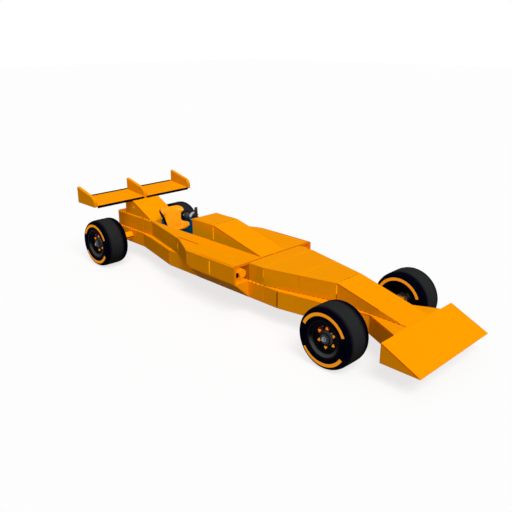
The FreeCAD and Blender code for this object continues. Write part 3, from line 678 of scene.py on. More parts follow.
class RACINGCAR_OT_paint(CarOperator, bpy.types.Operator):
    """Give every shaped part that shows its finish"""
    bl_idname = "racing_car.paint"
    bl_label = "Paint the Car"

    def execute(self, context):
        paint = context.scene.car_paint

        def coat(name, foot=None):
            return painted(name, paint.body_colour, paint.gloss, paint.painted_edge_light, foot)

        sill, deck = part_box("floor_tub")[1].z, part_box("cockpit_surround")[1].z
        axle_low, axle_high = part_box("rear_axle")
        body = coat("body_paint")
        # The feet give painted shade low on the sides of the nose, fins, cowl, tier and scuttle.
        nose = coat("nose_paint", (sill, 0.15, 0.78))
        fin = coat("fin_paint", (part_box("rear_wing_board")[1].z, 0.22, 0.76))
        tube = axle_paint(paint.body_colour, paint.gloss, paint.painted_edge_light,
                          (axle_low.z + axle_high.z) / 2)
        # The pipe's glow is painted light on a pipe that the pod deck shades.
        pipe = wall_paint("pipe_paint", paint.body_colour, 0.2)
        wheel = black_enamel("rim_metal", (0.0018, 0.0018, 0.0022), 0.38, 0.05)
        steel = turned_metal("steel", (0.42, 0.43, 0.44), 0.3)
        finishes = dict.fromkeys(PAINTED_PANELS, body)
        finishes.update({
            "cowl": coat("cowl_paint", (deck, 0.26, 0.50)),
            "cockpit_surround": coat("tier_paint", (sill, 0.15, 0.70)),
            "scuttle": coat("scuttle_paint", (sill, 0.40, 0.80)),
            "nose_plate": nose, "nose_cone": nose,
            "rear_wing_fin_centre": fin, "rear_wing_fin_left": fin,
            "engine_block": cast_metal("engine_metal", (0.35, 0.35, 0.36)),
            "cockpit_liner": liner_finish(paint.liner_colour),
            "dash_panel": woven("black_plastic", (0.006, 0.006, 0.007),
                                (0.018, 0.018, 0.02), 0.004),
            "rear_axle": tube, "front_beam": tube,
            "tow_eye": steel, "steering_column": steel,
        })
        finishes.update(dict.fromkeys(pair("knuckle"), steel))
        finishes.update(dict.fromkeys(pair("inlet_pipe"), pipe))
        finishes.update(dict.fromkeys(pair("rim_front", "rim_rear"), wheel))
        for name, material in finishes.items():
            slots = frame["nodes"][name].data.materials
            slots.clear()
            slots.append(material)
        return {"FINISHED"}


class RACINGCAR_OT_tyres(CarOperator, bpy.types.Operator):
    """Turn four slick tyres with ribbed walls, and paint arcs on their walls"""
    bl_idname = "racing_car.tyres"
    bl_label = "Tyres"

    ARCS = ((23.0, 156.5, 0.0), (212.0, 330.0, 0.28))    # degrees, share that narrows
    BEAD_GAP = 0.0006    # between the rim and the bore
    SHOULDER = 0.050      # of the tread, which the paler band does not reach
    LIT_BAND_SHIFT = 0.020    # of the paler band, partly scuffing and partly painted sheen, outward

    def execute(self, context):
        wheels = context.scene.car_wheels
        low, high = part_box("tyre_front_left")
        radius, half = (high.z - low.z) / 2, (high.y - low.y) / 2
        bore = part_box("rim_front_left")[1].z - (low.z + high.z) / 2 + self.BEAD_GAP
        skin = rubber("tyre_rubber", wheels.rubber_colour, wheels.worn_lit_tread_colour,
                      half - self.SHOULDER, (low.y + high.y) / 2 + self.LIT_BAND_SHIFT)
        # The stripes glow: painted light.
        stripe = wall_paint("tyre_stripe", context.scene.car_paint.stripe_colour)
        tyre = lathe(tyre_profile(radius, half, bore), wheels.turn_steps, closed=True)
        stripes = merged(*(
            wall_arc(wheels.stripe_radius, wheels.stripe_width, *span, half, face)
            for face in (1, -1) for span in self.ARCS))
        for name, body, centre, side in wheel_places():
            piece("tyre_skin_" + name, put_on_wheel(tyre, centre, side), skin,
                  body, sharp=40, replaces=("tyre_" + name,))
            piece("wall_stripes_" + name, put_on_wheel(stripes, centre, side), stripe,
                  body)
        return {"FINISHED"}


def tyre_profile(radius, half, bore):
    """Section of a slick: crown, shoulder, ribbed wall, bead. (radius, y)."""
    drop, crown, skin = 0.046, 0.095, 0.0012
    wall = half - skin
    section = [(radius - 0.0006, 0.0), (radius - 0.0007, 0.03)]
    section += [(radius - drop + (drop - skin) * up, crown + (wall - crown) * out)
                for up, out in arc(1.0, 0, 90, 12)[:-1]]
    section += [
        (0.289, wall - 0.0002), (0.286, wall), (0.250, wall),
        (0.2465, wall - 0.0004), (0.2455, wall - 0.0025), (0.2425, wall - 0.0025),
        (0.2415, wall - 0.0004), (0.228, wall - 0.0008), (0.2205, wall - 0.0012),
        (0.2185, wall - 0.0045), (0.213, wall - 0.0065), (bore + 0.0022, wall - 0.0085),
        (bore, wall - 0.0115), (bore, half - 0.03), (bore, 0.06), (bore, 0.0)]
    return section + [(r, -y) for r, y in reversed(section[1:-1])]


def wall_arc(outer, width, first, last, thin, half, face):
    """A thin raised band on the wall from one angle to another, in degrees."""
    proud, root, rise, steps = half - 0.0003, half - 0.0022, 0.0006, 72
    rings = []
    for step, (x, z) in enumerate(arc(1.0, first, last, steps)):
        narrow = width * (1 - thin * (1 - min(1.0, step / steps * 2.2)))
        rings.append([Vector((r * x, face * y, r * z)) for r, y in (
            (outer, root), (outer - rise, proud), (outer - narrow + rise, proud),
            (outer - narrow, root))])
    return loft(rings)


class RACINGCAR_OT_wheel_faces(CarOperator, bpy.types.Operator):
    """Fit hub caps, nuts, clips and valves to the wheels"""
    bl_idname = "racing_car.wheel_faces"
    bl_label = "Wheel Faces"

    FACE = 0.110    # height of the wheel's face above its centre
    FIRST_CLIP = math.radians(28)
    CAP = ((0.080, 0.108), (0.080, 0.112), (0.076, 0.115), (0.068, 0.118), (0.0625, 0.124),
           (0.0625, 0.134), (0.054, 0.1425), (0.034, 0.146), (0.022, 0.150), (0.020, 0.150),
           (0.020, 0.108))
    BEVEL = ((0.1505, 0.1462), (0.1865, 0.1702), (0.1875, 0.1694), (0.1875, 0.1672),
             (0.1505, 0.1432))
    STUD = ((0.0, 0.0), (0.0105, 0.0), (0.0105, 0.010), (0.008, 0.014), (0.0, 0.0155))
    VALVE = ((0.0, 0.0), (0.004, 0.0), (0.004, 0.016), (0.005, 0.017), (0.005, 0.024),
             (0.0035, 0.026), (0.0, 0.026))
    STUD_AT, VALVE_AT = (0.100, 0.86, -0.0005), (0.130, 1.9)    # radius, angle, lift
    WASHERS = {1: 0.028, 2: 0.037}    # radius by the clip that it lies under

    def execute(self, context):
        wheels = context.scene.car_wheels
        paint = context.scene.car_paint
        nut_metal = turned_metal("nut_metal", (0.24, 0.25, 0.27), 0.25)
        clips, washers = [], []
        for index in range(wheels.stud_count):
            angle = self.FIRST_CLIP + math.tau * index / wheels.stud_count
            spot = self.spot(wheels.stud_circle, angle)
            clips.append(lobed_clip(spot, angle))
            if index in self.WASHERS:
                wide = self.WASHERS[index]
                ring = lathe([(wide, 0.0), (wide, 0.0022), (wide - 0.003, 0.0034),
                              (0.010, 0.0034), (0.010, 0.0)], 36, closed=True)
                washers.append(moved(ring, at(spot.x, spot.y - 0.0005, spot.z)))
        stud = moved(lathe(self.STUD, 20), at(*self.spot(*self.STUD_AT)))
        valve = moved(lathe(self.VALVE, 16), at(*self.spot(*self.VALVE_AT)))
        fittings = (
            ("hub_cap_", lathe(self.CAP, 64, closed=True),
             black_enamel("hub_enamel", (0.020, 0.022, 0.024), 0.3, 0.35), "rim_metal"),
            ("wheel_nut_", merged(wheel_nut(), stud), nut_metal, "steel"),
            ("rim_bevel_", lathe(self.BEVEL, 96, closed=True),
             bevel_finish((0.050, 0.053, 0.056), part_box("tyre_front_left")[1].z / 2),
             "rim_metal"),
            # The clips glow: painted light.
            ("clips_", merged(*clips), wall_paint("clip_paint", paint.stripe_colour),
             "body_paint"),
            ("washers_", merged(*washers), moulded("washer_red", paint.accent_colour, 0.3),
             "rim_metal"),
            ("valve_", valve, nut_metal, "steel"))
        for name, body, centre, side in wheel_places():
            for title, shape, material, slot in fittings:
                piece(title + name, put_on_wheel(shape, centre, side), material, body)
        return {"FINISHED"}

    def spot(self, radius, angle, lift=0.0):
        """Place on the wheel's face, at an angle in radians."""
        return Vector((radius * math.cos(angle), self.FACE + lift, radius * math.sin(angle)))


def wheel_nut():
    """Single centre nut: six flats, a collar and a domed end."""
    rings = []
    steps, flat = 48, math.tau / 6
    for y, flat_size, round_size in ((0.140, 0.026, 0.030), (0.152, 0.026, 0.030),
                                     (0.154, 0.0185, 0.0205), (0.170, 0.0185, 0.0205),
                                     (0.173, 0.012, 0.012)):
        ring = []
        for step in range(steps):
            angle = math.tau * step / steps
            off_flat = (angle + flat / 2) % flat - flat / 2
            radius = min(round_size, flat_size / math.cos(off_flat))
            ring.append(Vector((radius * math.cos(angle), y, radius * math.sin(angle))))
        rings.append(ring)
    return loft(rings)


def lobed_clip(spot, angle):
    """A three-lobed spring clip that stands on the wheel face."""
    size, lobe, steps = 0.0125, 0.42, 36
    rings = []
    for y, share in ((-0.0005, 0.92), (0.004, 1.0), (0.010, 1.0), (0.0125, 0.9)):
        ring = []
        for step in range(steps):
            turn = math.tau * step / steps
            radius = size * share * (1 + lobe * math.cos(3 * turn))
            ring.append(spot + Vector((radius * math.cos(turn + angle), y,
                                       radius * math.sin(turn + angle))))
        rings.append(ring)
    return loft(rings)


class RACINGCAR_OT_seat(CarOperator, bpy.types.Operator):
    """Form the bucket seat and its foot, and the pads behind it"""
    bl_idname = "racing_car.seat"
    bl_label = "Seat"

    SKIN_SHARE, GAP_SHARE = 0.12, 0.005    # of the shell's thickness
    PAD_Y, PAD_DROP = 0.1315, 0.096

    def execute(self, context):
        low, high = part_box("seat")
        liner_low, liner_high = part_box("cockpit_liner")
        colour = shade(context.scene.car_paint.body_colour, 1.08)
        skin = moulded("seat_skin", colour, 0.3, coat=0.22)
        shell = black_enamel("seat_backing", (0.003, 0.003, 0.004), 0.4, 0.1)
        piece("seat_bucket", loft(seat_rings(high.x, 0.0, self.SKIN_SHARE, 0.0)), skin,
              sharp=50, replaces=("seat",))
        backing = loft(seat_rings(high.x, self.SKIN_SHARE + self.GAP_SHARE, 1.0, 1.5))
        piece("seat_backing", [backing, *seat_foot(high.x, low.z)], shell,
              sharp=50)
        pads = [plate((0.145, 0.190, 0.012), 0.006, 0.002,
                      (liner_low.x + 0.0058, side * self.PAD_Y, liner_high.z - self.PAD_DROP),
                      FORWARD) for _, side in SIDES]
        lip = plate((0.013, 0.408), 0.0016, 0.0005,
                    (liner_low.x + 0.0062, 0, liner_high.z - 0.0004))
        piece("cockpit_pads", [*pads, lip], skin)
        return {"FINISHED"}


SEAT_ROWS = (     # middle of the face, half width, bolster ridge, rear: (back, height) mm
    (6, 566, 172, 16, 586, 30, 548), (0, 580, 176, 8, 608, 26, 552),
    (8, 590, 180, 15, 626, 30, 552), (28, 573, 181, 27, 636, 40, 540),
    (50, 564, 176, 48, 648, 60, 530), (74, 560, 162, 73, 650, 96, 520),
    (96, 582, 148, 98, 656, 142, 540), (110, 625, 134, 122, 657, 168, 602),
    (131, 680, 133, 140, 684, 190, 658), (146, 708, 136, 152, 710, 210, 686),
    (161, 739, 141, 157, 741, 228, 718), (174, 766, 152, 163, 766, 244, 746),
    (184, 785, 170, 147, 785, 254, 767), (193, 803, 183, 140, 803, 260, 786),
    (208, 825, 188, 160, 824, 264, 809), (226, 843, 183, 190, 840, 268, 829),
    (245, 855, 165, 225, 851, 274, 844), (258, 858, 140, 246, 857, 278, 850),
)
SEAT_CREASE = 100.0    # half width of the flat middle, mm


def curved(knots, steps):
    """Rows between rows of numbers, along a Catmull-Rom line."""
    ends = [knots[0], *knots, knots[-1]]
    rows = []
    for place in range(len(knots) - 1):
        for step in range(steps):
            t = step / steps
            rows.append([0.5 * (2 * b + (c - a) * t + (2 * a - 5 * b + 4 * c - d) * t * t
                                + (3 * b - a - 3 * c + d) * t ** 3)
                         for a, b, c, d in zip(*ends[place:place + 4])])
    rows.append(knots[-1])
    return rows


def seat_rings(front, near, far, inset):
    """Sections of the layer between two shares of the shell's thickness."""
    rings = []
    for middle_x, middle_z, half, ridge_x, ridge_z, rear_x, rear_z in curved(SEAT_ROWS, 4):
        half -= inset
        middle, ridge = Vector((middle_x, middle_z)), Vector((ridge_x, ridge_z))
        depth = Vector((rear_x, rear_z)) - middle
        crease = min(SEAT_CREASE, half - 22.0)
        line = [(0.0, 0.0), (crease * 0.5, 0.0), (crease - 3, 0.0)]
        line += [(crease + (half - crease) * share, share ** 1.15)
                 for share in (0.12, 0.3, 0.5, 0.7, 0.86)]
        line += [(half - 1.8, 0.985), (half, 0.94)]
        whole = [(-y, rise) for y, rise in reversed(line)] + line[1:]
        ring = []
        for layer, order in ((near, 1), (far, -1)):
            for y, rise in whole[::order]:
                spot = middle + (ridge - middle) * rise + depth * layer
                ring.append(Vector((front - spot.x * MM, y * MM, spot.y * MM)))
        rings.append(ring)
    return rings


def seat_foot(front, floor):
    """Pressed pedestal under the cushion, with a flange on the liner."""
    place = (front - 0.071, 0, floor + 0.0005)
    return (plate((0.074, 0.218, 0.008), 0.004, 0.001, place),
            plate((0.060, 0.190, 0.010), 0.092, 0.003, place))


class RACINGCAR_OT_steering(CarOperator, bpy.types.Operator):
    """Build the steering wheel with its grips, boss, paddles and buttons"""
    bl_idname = "racing_car.steering"
    bl_label = "Steering Wheel"

    RING_RADIUS = 0.072
    GRIPS = ((140, 235), (-55, 40))    # degrees round the ring
    PLATE_TOP, PLATE_FOOT = 0.0195, -0.0595
    HUB = ((0.0, 0.004), (0.026, 0.004), (0.0275, 0.007), (0.0275, 0.024), (0.0245, 0.028),
           (0.015, 0.0295), (0.0135, 0.0315), (0.0, 0.0318))
    BOSS = ((0.0, -0.0005), (0.0485, -0.0005), (0.0485, -0.0835), (0.0455, -0.0875),
            (0.026, -0.0875), (0.0255, -0.080), (0.0, -0.080))
    FACE = 0.0158    # where the buttons stand
    BUTTONS = ((0.047, 0.005, 0.0048), (0.044, -0.007, 0.0036), (0.034, 0.008, 0.003))
    PADDLE = (0.036, 0.020, -0.004)

    def execute(self, context):
        enamel = black_enamel("wheel_enamel", (0.002, 0.002, 0.003), 0.45, 0.1)
        grip = moulded("grip_rubber", (0.004, 0.004, 0.005), 0.62, pebble_scale=520.0)
        joint = next(j for j in frame["joints"] if j["name"] == "steering_turn")
        centre = Vector(joint["pos_m"])
        matrix = frame_at(centre, joint["axis"])
        core = moved(sweep(self.ring(0, 360, 96)[:-1], 0.0085, 14, closed=True), matrix)
        steps = 28
        swell = [0.0087 + 0.0041 * min(1.0, 4 * min(step, steps - step) / steps)
                 for step in range(steps + 1)]
        grips = [moved(sweep(self.ring(first, last, steps), swell, 16), matrix)
                 for first, last in self.GRIPS]
        reach = self.RING_RADIUS - 0.001
        edge = arc(reach, math.degrees(math.asin(self.PLATE_TOP / reach)),
                   math.degrees(math.asin(self.PLATE_FOOT / reach)), 16)
        spokes = slab(edge + [(-x, y) for x, y in reversed(edge)], 0.0175, 0.0025,
                      matrix @ at(0, 0, 0.001))
        x, y, z = self.PADDLE
        paddles = [slab(oblong(0.030, 0.020, 0.004), 0.003, 0.0008,
                        matrix @ at(side * x, y, z)) for _, side in SIDES]
        buttons = []
        for x, y, size in self.BUTTONS:
            knob = [(0.0, 0.0), (size, 0.0), (size, 0.003), (size * 0.8, 0.004), (0.0, 0.0042)]
            buttons += [turned(knob, 20, matrix @ at(side * x, y, self.FACE))
                        for side in (-1, 1)]
        for name, shape, material, slot, replaces in (
                ("steering_ring", [core, spokes, turned(self.HUB, 40, matrix)], enamel,
                 "steering_grey", ("steering_wheel",)),
                ("steering_boss", turned(self.BOSS, 56, matrix),
                 boss_finish("boss_enamel", (0.030, 0.048, 0.058), (0.001, 0.022, 0.046),
                             centre.z), "steering_grey", ()),
                # The paddles glow: painted light.
                ("shift_paddles", paddles,
                 wall_paint("paddle_paint", context.scene.car_paint.stripe_colour),
                 "body_paint", ()),
                ("steering_grips", grips, grip, "black_plastic", ()),
                ("steering_buttons", buttons, grip, "black_plastic", ())):
            piece(name, shape, material, "steering", replaces=replaces)
        return {"FINISHED"}

    def ring(self, first, last, steps):
        """Middle line of the ring between two angles, in degrees."""
        return [Vector((x, y, 0)) for x, y in arc(self.RING_RADIUS, first, last, steps)]


class RACINGCAR_OT_instruments(CarOperator, bpy.types.Operator):
    """Build the instrument hood with its gauges and the upright screen"""
    bl_idname = "racing_car.instruments"
    bl_label = "Instruments"

    CENTRE_Z = 0.820         # of the hood's arch
    OPEN_ENDS = (16, 164)    # degrees between which the arch stands
    WALL, INSET = 0.020, 0.020    # the hood's thickness, and how far its rear edge is in
    COWL_GAP = 0.201         # from the hood's front edge to the cowl
    GAUGES = ((0.0, 0.024, 0.019), (-0.031, 0.013, 0.011), (0.031, 0.013, 0.011))
    SCREEN_X, TIP_X, GLASS_X = 0.0316, 0.0308, 0.0205    # ahead of the hood

    def execute(self, context):
        alloy = turned_metal("hood_alloy", (0.50, 0.51, 0.54), 0.42, (60.0, 60.0, 60.0))
        plastic = woven("screen_case", (0.004, 0.004, 0.005), (0.011, 0.011, 0.013), 0.003)
        low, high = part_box("instrument_hood")
        rear, front = low.x + self.INSET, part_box("cowl")[0].x - self.COWL_GAP
        radius = high.y
        bore = radius - self.WALL
        shell = self.arch(*self.OPEN_ENDS, (
            (rear + 0.002, radius), (front - 0.003, radius), (front - 0.0008, radius - 0.001),
            (front, radius - 0.003), (front, bore + 0.003), (front - 0.001, bore + 0.001),
            (front - 0.003, bore), (rear + 0.010, bore), (rear, bore), (rear, radius - 0.002)))
        lining = self.arch(0, 180, (
            (rear + 0.010, bore + 0.0005), (front - 0.001, bore + 0.0005),
            (front - 0.001, bore - 0.0015), (rear + 0.010, bore - 0.0015)))
        dials = slab(arc(bore + 0.001, 0, 180, 32), 0.008, 0.0006,
                     frame_at((rear + 0.009, 0, self.CENTRE_Z), REARWARD))
        base = plate((front - rear, 2 * radius, 0.004), 0.0118, 0.002,
                     ((front + rear) / 2, 0, self.CENTRE_Z - 0.0118))
        arm_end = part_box("dash_panel")[0].x
        arm = plate((arm_end - front + 0.008, 0.026, 0.003), 0.0155, 0.002,
                    ((arm_end + front - 0.008) / 2, 0, low.z + 0.0002))
        case = plate((0.049, high.z - low.z - 0.018, 0.005), 0.0112, 0.002,
                     (front + self.SCREEN_X, 0, (high.z + low.z) / 2 + 0.008), REARWARD)
        tip = plate((0.036, 0.008, 0.002), 0.0128, 0.001,
                    (front + self.TIP_X, 0, high.z - 0.0046), REARWARD)
        glasses = [plate((0.033, 0.118, 0.003), 0.001, 0.0003,
                         (front + self.GLASS_X, 0, high.z - 0.066), REARWARD)]
        bezels = []
        for y, z, size in self.GAUGES:
            spot = frame_at((rear + 0.0010, y, self.CENTRE_Z + z), REARWARD)
            bezels.append(turned([(size, 0.0), (size, 0.0008), (size - 0.001, 0.0010),
                                  (size - 0.0026, 0.0010), (size - 0.003, 0.0)],
                                 36, spot, closed=True))
            pane = size - 0.0028
            glasses.append(turned([(0.0, 0.0), (pane, 0.0), (pane, 0.0005), (0.0, 0.0006)],
                                  36, spot))
        piece("hood_shell", shell, alloy, replaces=("instrument_hood",))
        piece("screen_tip", tip, moulded("tip_red", (0.45, 0.05, 0.04)))
        piece("dial_plate", [dials, lining, case, base, arm], plastic)
        piece("dial_bezels", bezels, alloy)
        piece("instrument_glass", glasses, blank_glass())
        return {"FINISHED"}

    def arch(self, first, last, section):
        """Carry a section of (x, radius) round the hood's arch, in degrees."""
        return loft([[Vector((x, r * across, self.CENTRE_Z + r * up)) for x, r in section]
                     for across, up in arc(1.0, first, last, 40)])


class RACINGCAR_OT_seams(CarOperator, bpy.types.Operator):
    """Lay dark seals, red lines of painted shade and pale glowing lips of painted highlight
    along the body's panel joints and edges, and a dark strip of painted shadow under each pod
    """
    bl_idname = "racing_car.seams"
    bl_label = "Panel Joints"

    def execute(self, context):
        colour = context.scene.car_paint.body_colour
        strips = {"dark": [], "pale": [], "red": []}
        for kind, tone, half, dashed, places in body_joints():
            for place in places:
                for _, side in SIDES:
                    strips[tone] += joint_strips(side, kind, half, dashed, *place)
        for name, tone, material, slot in (
                # Dark seals, and one strip of painted shadow under each pod.
                ("seal_and_shadow_strips", "dark", seal_rubber("seal_and_shadow_paint", shade(colour, 0.22)),
                 "black_plastic"),
                # Red lines of painted shade, with a glow.
                ("joint_shades", "red", seal_rubber("joint_shade", (0.42, 0.065, 0.0), 0.55),
                 "body_paint"),
                # Pale lips of painted highlight, with a glow.
                ("joint_lips", "pale",
                 edging("joint_lip", shade(colour, 0.94), colour, 260.0, 0.55, 0.85),
                 "body_paint")):
            piece(name, strips[tone], material)
        return {"FINISHED"}


def body_joints():
    """Joints by kind, tone, half width and dashes: (fixed place, first, last), metres."""
    def start(name):
        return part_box(name)[0].x

    def end(name):
        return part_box(name)[1].x

    floor, sill = (corner.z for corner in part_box("floor_tub"))
    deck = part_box("cockpit_surround")[1].z
    middle = (sill + deck) / 2
    pod_low, pod_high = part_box("sidepod_wall_left")
    cowl_low, cowl_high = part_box("cowl")
    wing_low, wing_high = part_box("front_wing")
    crease, nose_crease = cowl_low.x + 0.420, start("nose_cone") + 0.449
    scuttle, shoulder, tip = end("scuttle"), end("shoulder_floor"), end("nose_cone")
    rear, hip = start("cockpit_surround"), start("sidepod_deck_left")
    bay_edge, nose_half = 0.424, 0.36
    broad, wide, slim, dotted, fine, rim = 0.012, 0.0070, 0.0048, 0.0095, 0.0035, 0.006
    return (
        # Pale rows: painted highlights, glowing lips where edges catch the light.
        ("upright", "pale", wide, False, (
            (start("firewall_body"), sill, deck), (rear, sill, deck),
            (hip + 0.036, sill + 0.070, sill + 0.140), (end("rear_floor"), floor, sill),
            (scuttle, middle - 0.01, deck), (scuttle, floor, sill),
            ((pod_low.x + pod_high.x) / 2 + 0.03, pod_low.z, pod_high.z))),
        ("upright", "dark", wide, False, (
            (scuttle, sill, middle - 0.01), (shoulder - 0.008, floor, sill))),
        ("upright", "pale", slim, False, (
            (nose_crease, middle - 0.02, deck), (crease, deck, cowl_high.z))),
        ("upright", "dark", slim, False, ((nose_crease, sill, middle - 0.02),)),
        ("level", "pale", dotted, True, (
            (sill - 0.007, start("rear_floor"), rear), (sill - 0.007, pod_high.x, scuttle),
            (deck - 0.007, start("engine_bay_body"), rear))),
        # Painted shadow: a dark strip under the pod wall's lip.
        ("level", "dark", broad, False, (
            (pod_low.z - 0.014, pod_low.x + 0.02, pod_low.x + 0.26),)),
        # Red rows: painted shade under top edges, along creases and deck edges.
        ("rim", "red", rim, False, (
            (deck + 0.010, crease, cowl_high.x - 0.05),
            (deck + 0.012, start("engine_cover") + 0.15, end("engine_cover") - 0.03),
            (middle - 0.03, nose_crease, tip - 0.3), (floor + 0.03, nose_crease + 0.30, tip),
            (wing_low.z + 0.010, wing_low.x + 0.004, wing_high.x - 0.03))),
        ("foot", "dark", fine, True, ((sill + 0.004, scuttle, tip),)),
        # Red: painted shade lines.
        ("across", "red", wide, False, ((pod_high.x - 0.009, 0.0, pod_high.y),)),
        ("across", "dark", fine, True, (
            (crease, 0.0, cowl_high.y), (nose_crease, 0.0, nose_half))),
        ("along", "red", broad, False, (
            (pod_high.y - 0.030, pod_low.x + 0.30, pod_high.x),
            (bay_edge, hip + 0.030, hip + 0.450))),
    )


SEAM_STEP = 0.030
RIM_INSET = 0.012    # from a side wall to where its top edge is felt for
RIM_DROP = 0.0075    # from the top edge to the middle of its ribbon


def joint_strips(side, kind, half, dashed, place, first, last):
    """Ribbons along one joint, laid on the real surfaces."""
    count = max(2, int(abs(last - first) / SEAM_STEP))
    nodes = UPPER_TIER if kind == "foot" else OUTER_PANELS
    if kind == "rim":
        nodes += ("engine_cover", "front_wing")
    line = []
    for index in range(count + 1):
        run = first + (last - first) * (0.01 + 0.98 * index / count)
        if kind == "upright":
            met = hit_side(nodes, side, place, run)
        elif kind == "across":
            met = hit_top(nodes, place, side * run)
        elif kind == "along":
            met = hit_top(nodes, run, side * place)
        else:
            met = hit_side(nodes, side, run, place)
        if met and kind == "rim":
            top = hit_top(nodes, run, met[0].y - side * RIM_INSET)
            met = top and hit_side(nodes, side, run, top[0].z - RIM_DROP)
        if met:
            line.append(met)
    if dashed:
        return [ribbon(line[dash:dash + 2], half) for dash in range(0, len(line) - 1, 2)]
    return [ribbon(line, half)] if len(line) > 1 else []


def ribbon(line, half):
    """A thin strip along (point, normal) rows, with its edges let into the skin."""
    proud, sunk = 0.0006, -0.003
    rings = []
    for place, (point, normal) in enumerate(line):
        along = line[min(len(line) - 1, place + 1)][0] - line[max(0, place - 1)][0]
        across = along.normalized().cross(normal).normalized()
        rings.append([point + across * x + normal * rise for x, rise in (
            (-half, sunk), (-half, 0.0), (-half * 0.6, proud), (half * 0.6, proud),
            (half, 0.0), (half, sunk))])
    return loft(rings)


class RACINGCAR_OT_trim(CarOperator, bpy.types.Operator):
    """Set rivets, latches, wing edge strips, pod inlets, tail fittings and pedals"""
    bl_idname = "racing_car.trim"
    bl_label = "Trim"

    LATCH_X, LATCH_Z = -2.319, 0.789    # on the engine cover's side
    LATCH = ((0.0, 0.0035), (0.009, 0.0035), (0.011, 0.002), (0.011, -0.001), (0.0, -0.001))
    STRIP_Z = 0.8988    # middle of the wing's front strips
    INNER_Y, LINER_Y, LINER_Z, BAFFLE_Z = 0.444, 0.4405, 0.5545, 0.557    # in the inlets
    LOUVRE_Z, SLATS_Z, SLAT_PITCH, SLATS = 0.56, 0.497, 0.025, 6
    PIPE_Y, PIPE_Z = 0.13, 0.345
    PIPE = ((0.040, 0.0), (0.040, 0.024), (0.0385, 0.0265), (0.0365, 0.0265),
            (0.035, 0.024), (0.035, 0.004), (0.0, 0.0035), (0.0, 0.0))
    PLUG = ((0.0, 0.001), (0.0346, 0.001), (0.0346, 0.0052), (0.0, 0.0052))
    PEDALS = ((-0.095, 0.06), (0.0, 0.07), (0.095, 0.06))    # place across, width
    PEDAL_Z, PEDAL_REACH = 0.755, 0.62    # height, and place ahead of the cowl's rear edge

    def execute(self, context):
        trim = context.scene.car_trim
        materials = bpy.data.materials
        black = black_enamel("edge_black", (0.0012, 0.001, 0.001), 0.5, 0.02)
        heads = rivet_rows(trim.rivet_radius, trim.rivet_pitch)
        piece("rivets", heads, materials["body_paint"])
        latches = []
        for _, side in SIDES:
            place, normal = hit_side(("engine_cover",), side, self.LATCH_X, self.LATCH_Z)
            latches.append(turned(self.LATCH, 24, frame_at(place, normal)))
        # The latches wear the glowing pale lip paint: painted highlight.
        piece("cover_latches", latches, materials["joint_lip"])
        low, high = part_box("rear_wing_board")
        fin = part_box("rear_wing_fin_centre")[1].y
        strips = [plate((2 * high.y - 0.004, 0.030, 0.003), 0.0022, 0.0006,
                        (low.x + 0.0022, 0, high.z + 0.001), REARWARD)]
        strips += [plate((high.y - fin - 0.002, 0.036, 0.003), 0.0022, 0.0006,
                         (high.x - 0.0003, side * (high.y + fin) / 2, self.STRIP_Z), FORWARD)
                   for _, side in SIDES]
        piece("wing_edge_strips", strips, black)
        self.inlets(context.scene.car_paint.body_colour, black)
        self.tail(materials["steel"], black)
        if trim.pedals:
            self.pedals(materials["steel"])
        return {"FINISHED"}

    def inlets(self, colour, black):
        """Floor plate with a glow of painted light, darker side sheet of painted shade and black
        plate of painted shadow, in the mouth of each pod.
        """
        floors, shadow_plates, shade_sheets = [], [], []
        for name, side in SIDES:
            low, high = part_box("sidepod_wall_" + name)
            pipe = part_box("inlet_pipe_" + name)
            outer = side * (max(abs(low.y), abs(high.y)) - 0.034)
            inner = side * self.INNER_Y
            pipe_edge = side * (max(abs(pipe[0].y), abs(pipe[1].y)) - 0.002)
            floors.append(plate((0.300, abs(outer - inner) - 0.003), 0.0016, 0.0004,
                                (high.x - 0.152, (outer + inner) / 2, low.z - 0.0002)))
            shadow_plates.append(plate((abs(outer - pipe_edge), 0.058, 0.003), 0.003, 0.0008,
                                 (high.x - 0.006, (outer + pipe_edge) / 2, self.BAFFLE_Z),
                                 FORWARD))
            shade_sheets.append(plate((0.312, 0.206), 0.0016, 0.0004,
                                (high.x - 0.148, side * self.LINER_Y, self.LINER_Z),
                                (0, side, 0)))
        red, green, _ = colour
        # Painted light: the floor plates glow.
        piece("inlet_floors", floors, wall_paint("inlet_paint", colour, 0.12))
        # Painted shade: a darker sheet on each inlet's inner side.
        piece("inlet_shade_sheets", shade_sheets,
              painted("inlet_shade_paint", (red * 0.5, green * 0.75, 0.0), 0.0, 0.2))
        # Painted shadow: a black plate in each inlet's mouth.
        piece("inlet_shadow_plates", shadow_plates, black)

    def tail(self, steel, black):
        """Louvre with its slats, and two plugged exhaust tips."""
        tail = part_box("engine_bay_body")[0].x
        blacks = [plate((0.36, 0.17, 0.012), 0.004, 0.0012,
                        (tail + 0.0005, 0, self.LOUVRE_Z), REARWARD)]
        blacks += [plate((0.33, 0.016, 0.002), 0.002, 0.0006,
                         (tail - 0.003, 0, self.SLATS_Z + index * self.SLAT_PITCH),
                         (-1, 0, 0.75)) for index in range(self.SLATS)]
        tips = []
        for _, side in SIDES:
            matrix = (at(tail - 0.0005, side * self.PIPE_Y, self.PIPE_Z)
                      @ Matrix.Rotation(math.pi / 2, 4, "Z"))
            tips.append(moved(lathe(self.PIPE, 48), matrix))
            blacks.append(moved(lathe(self.PLUG, 48), matrix))
        piece("tail_louvre", blacks, black)
        piece("exhaust_tips", tips, steel)

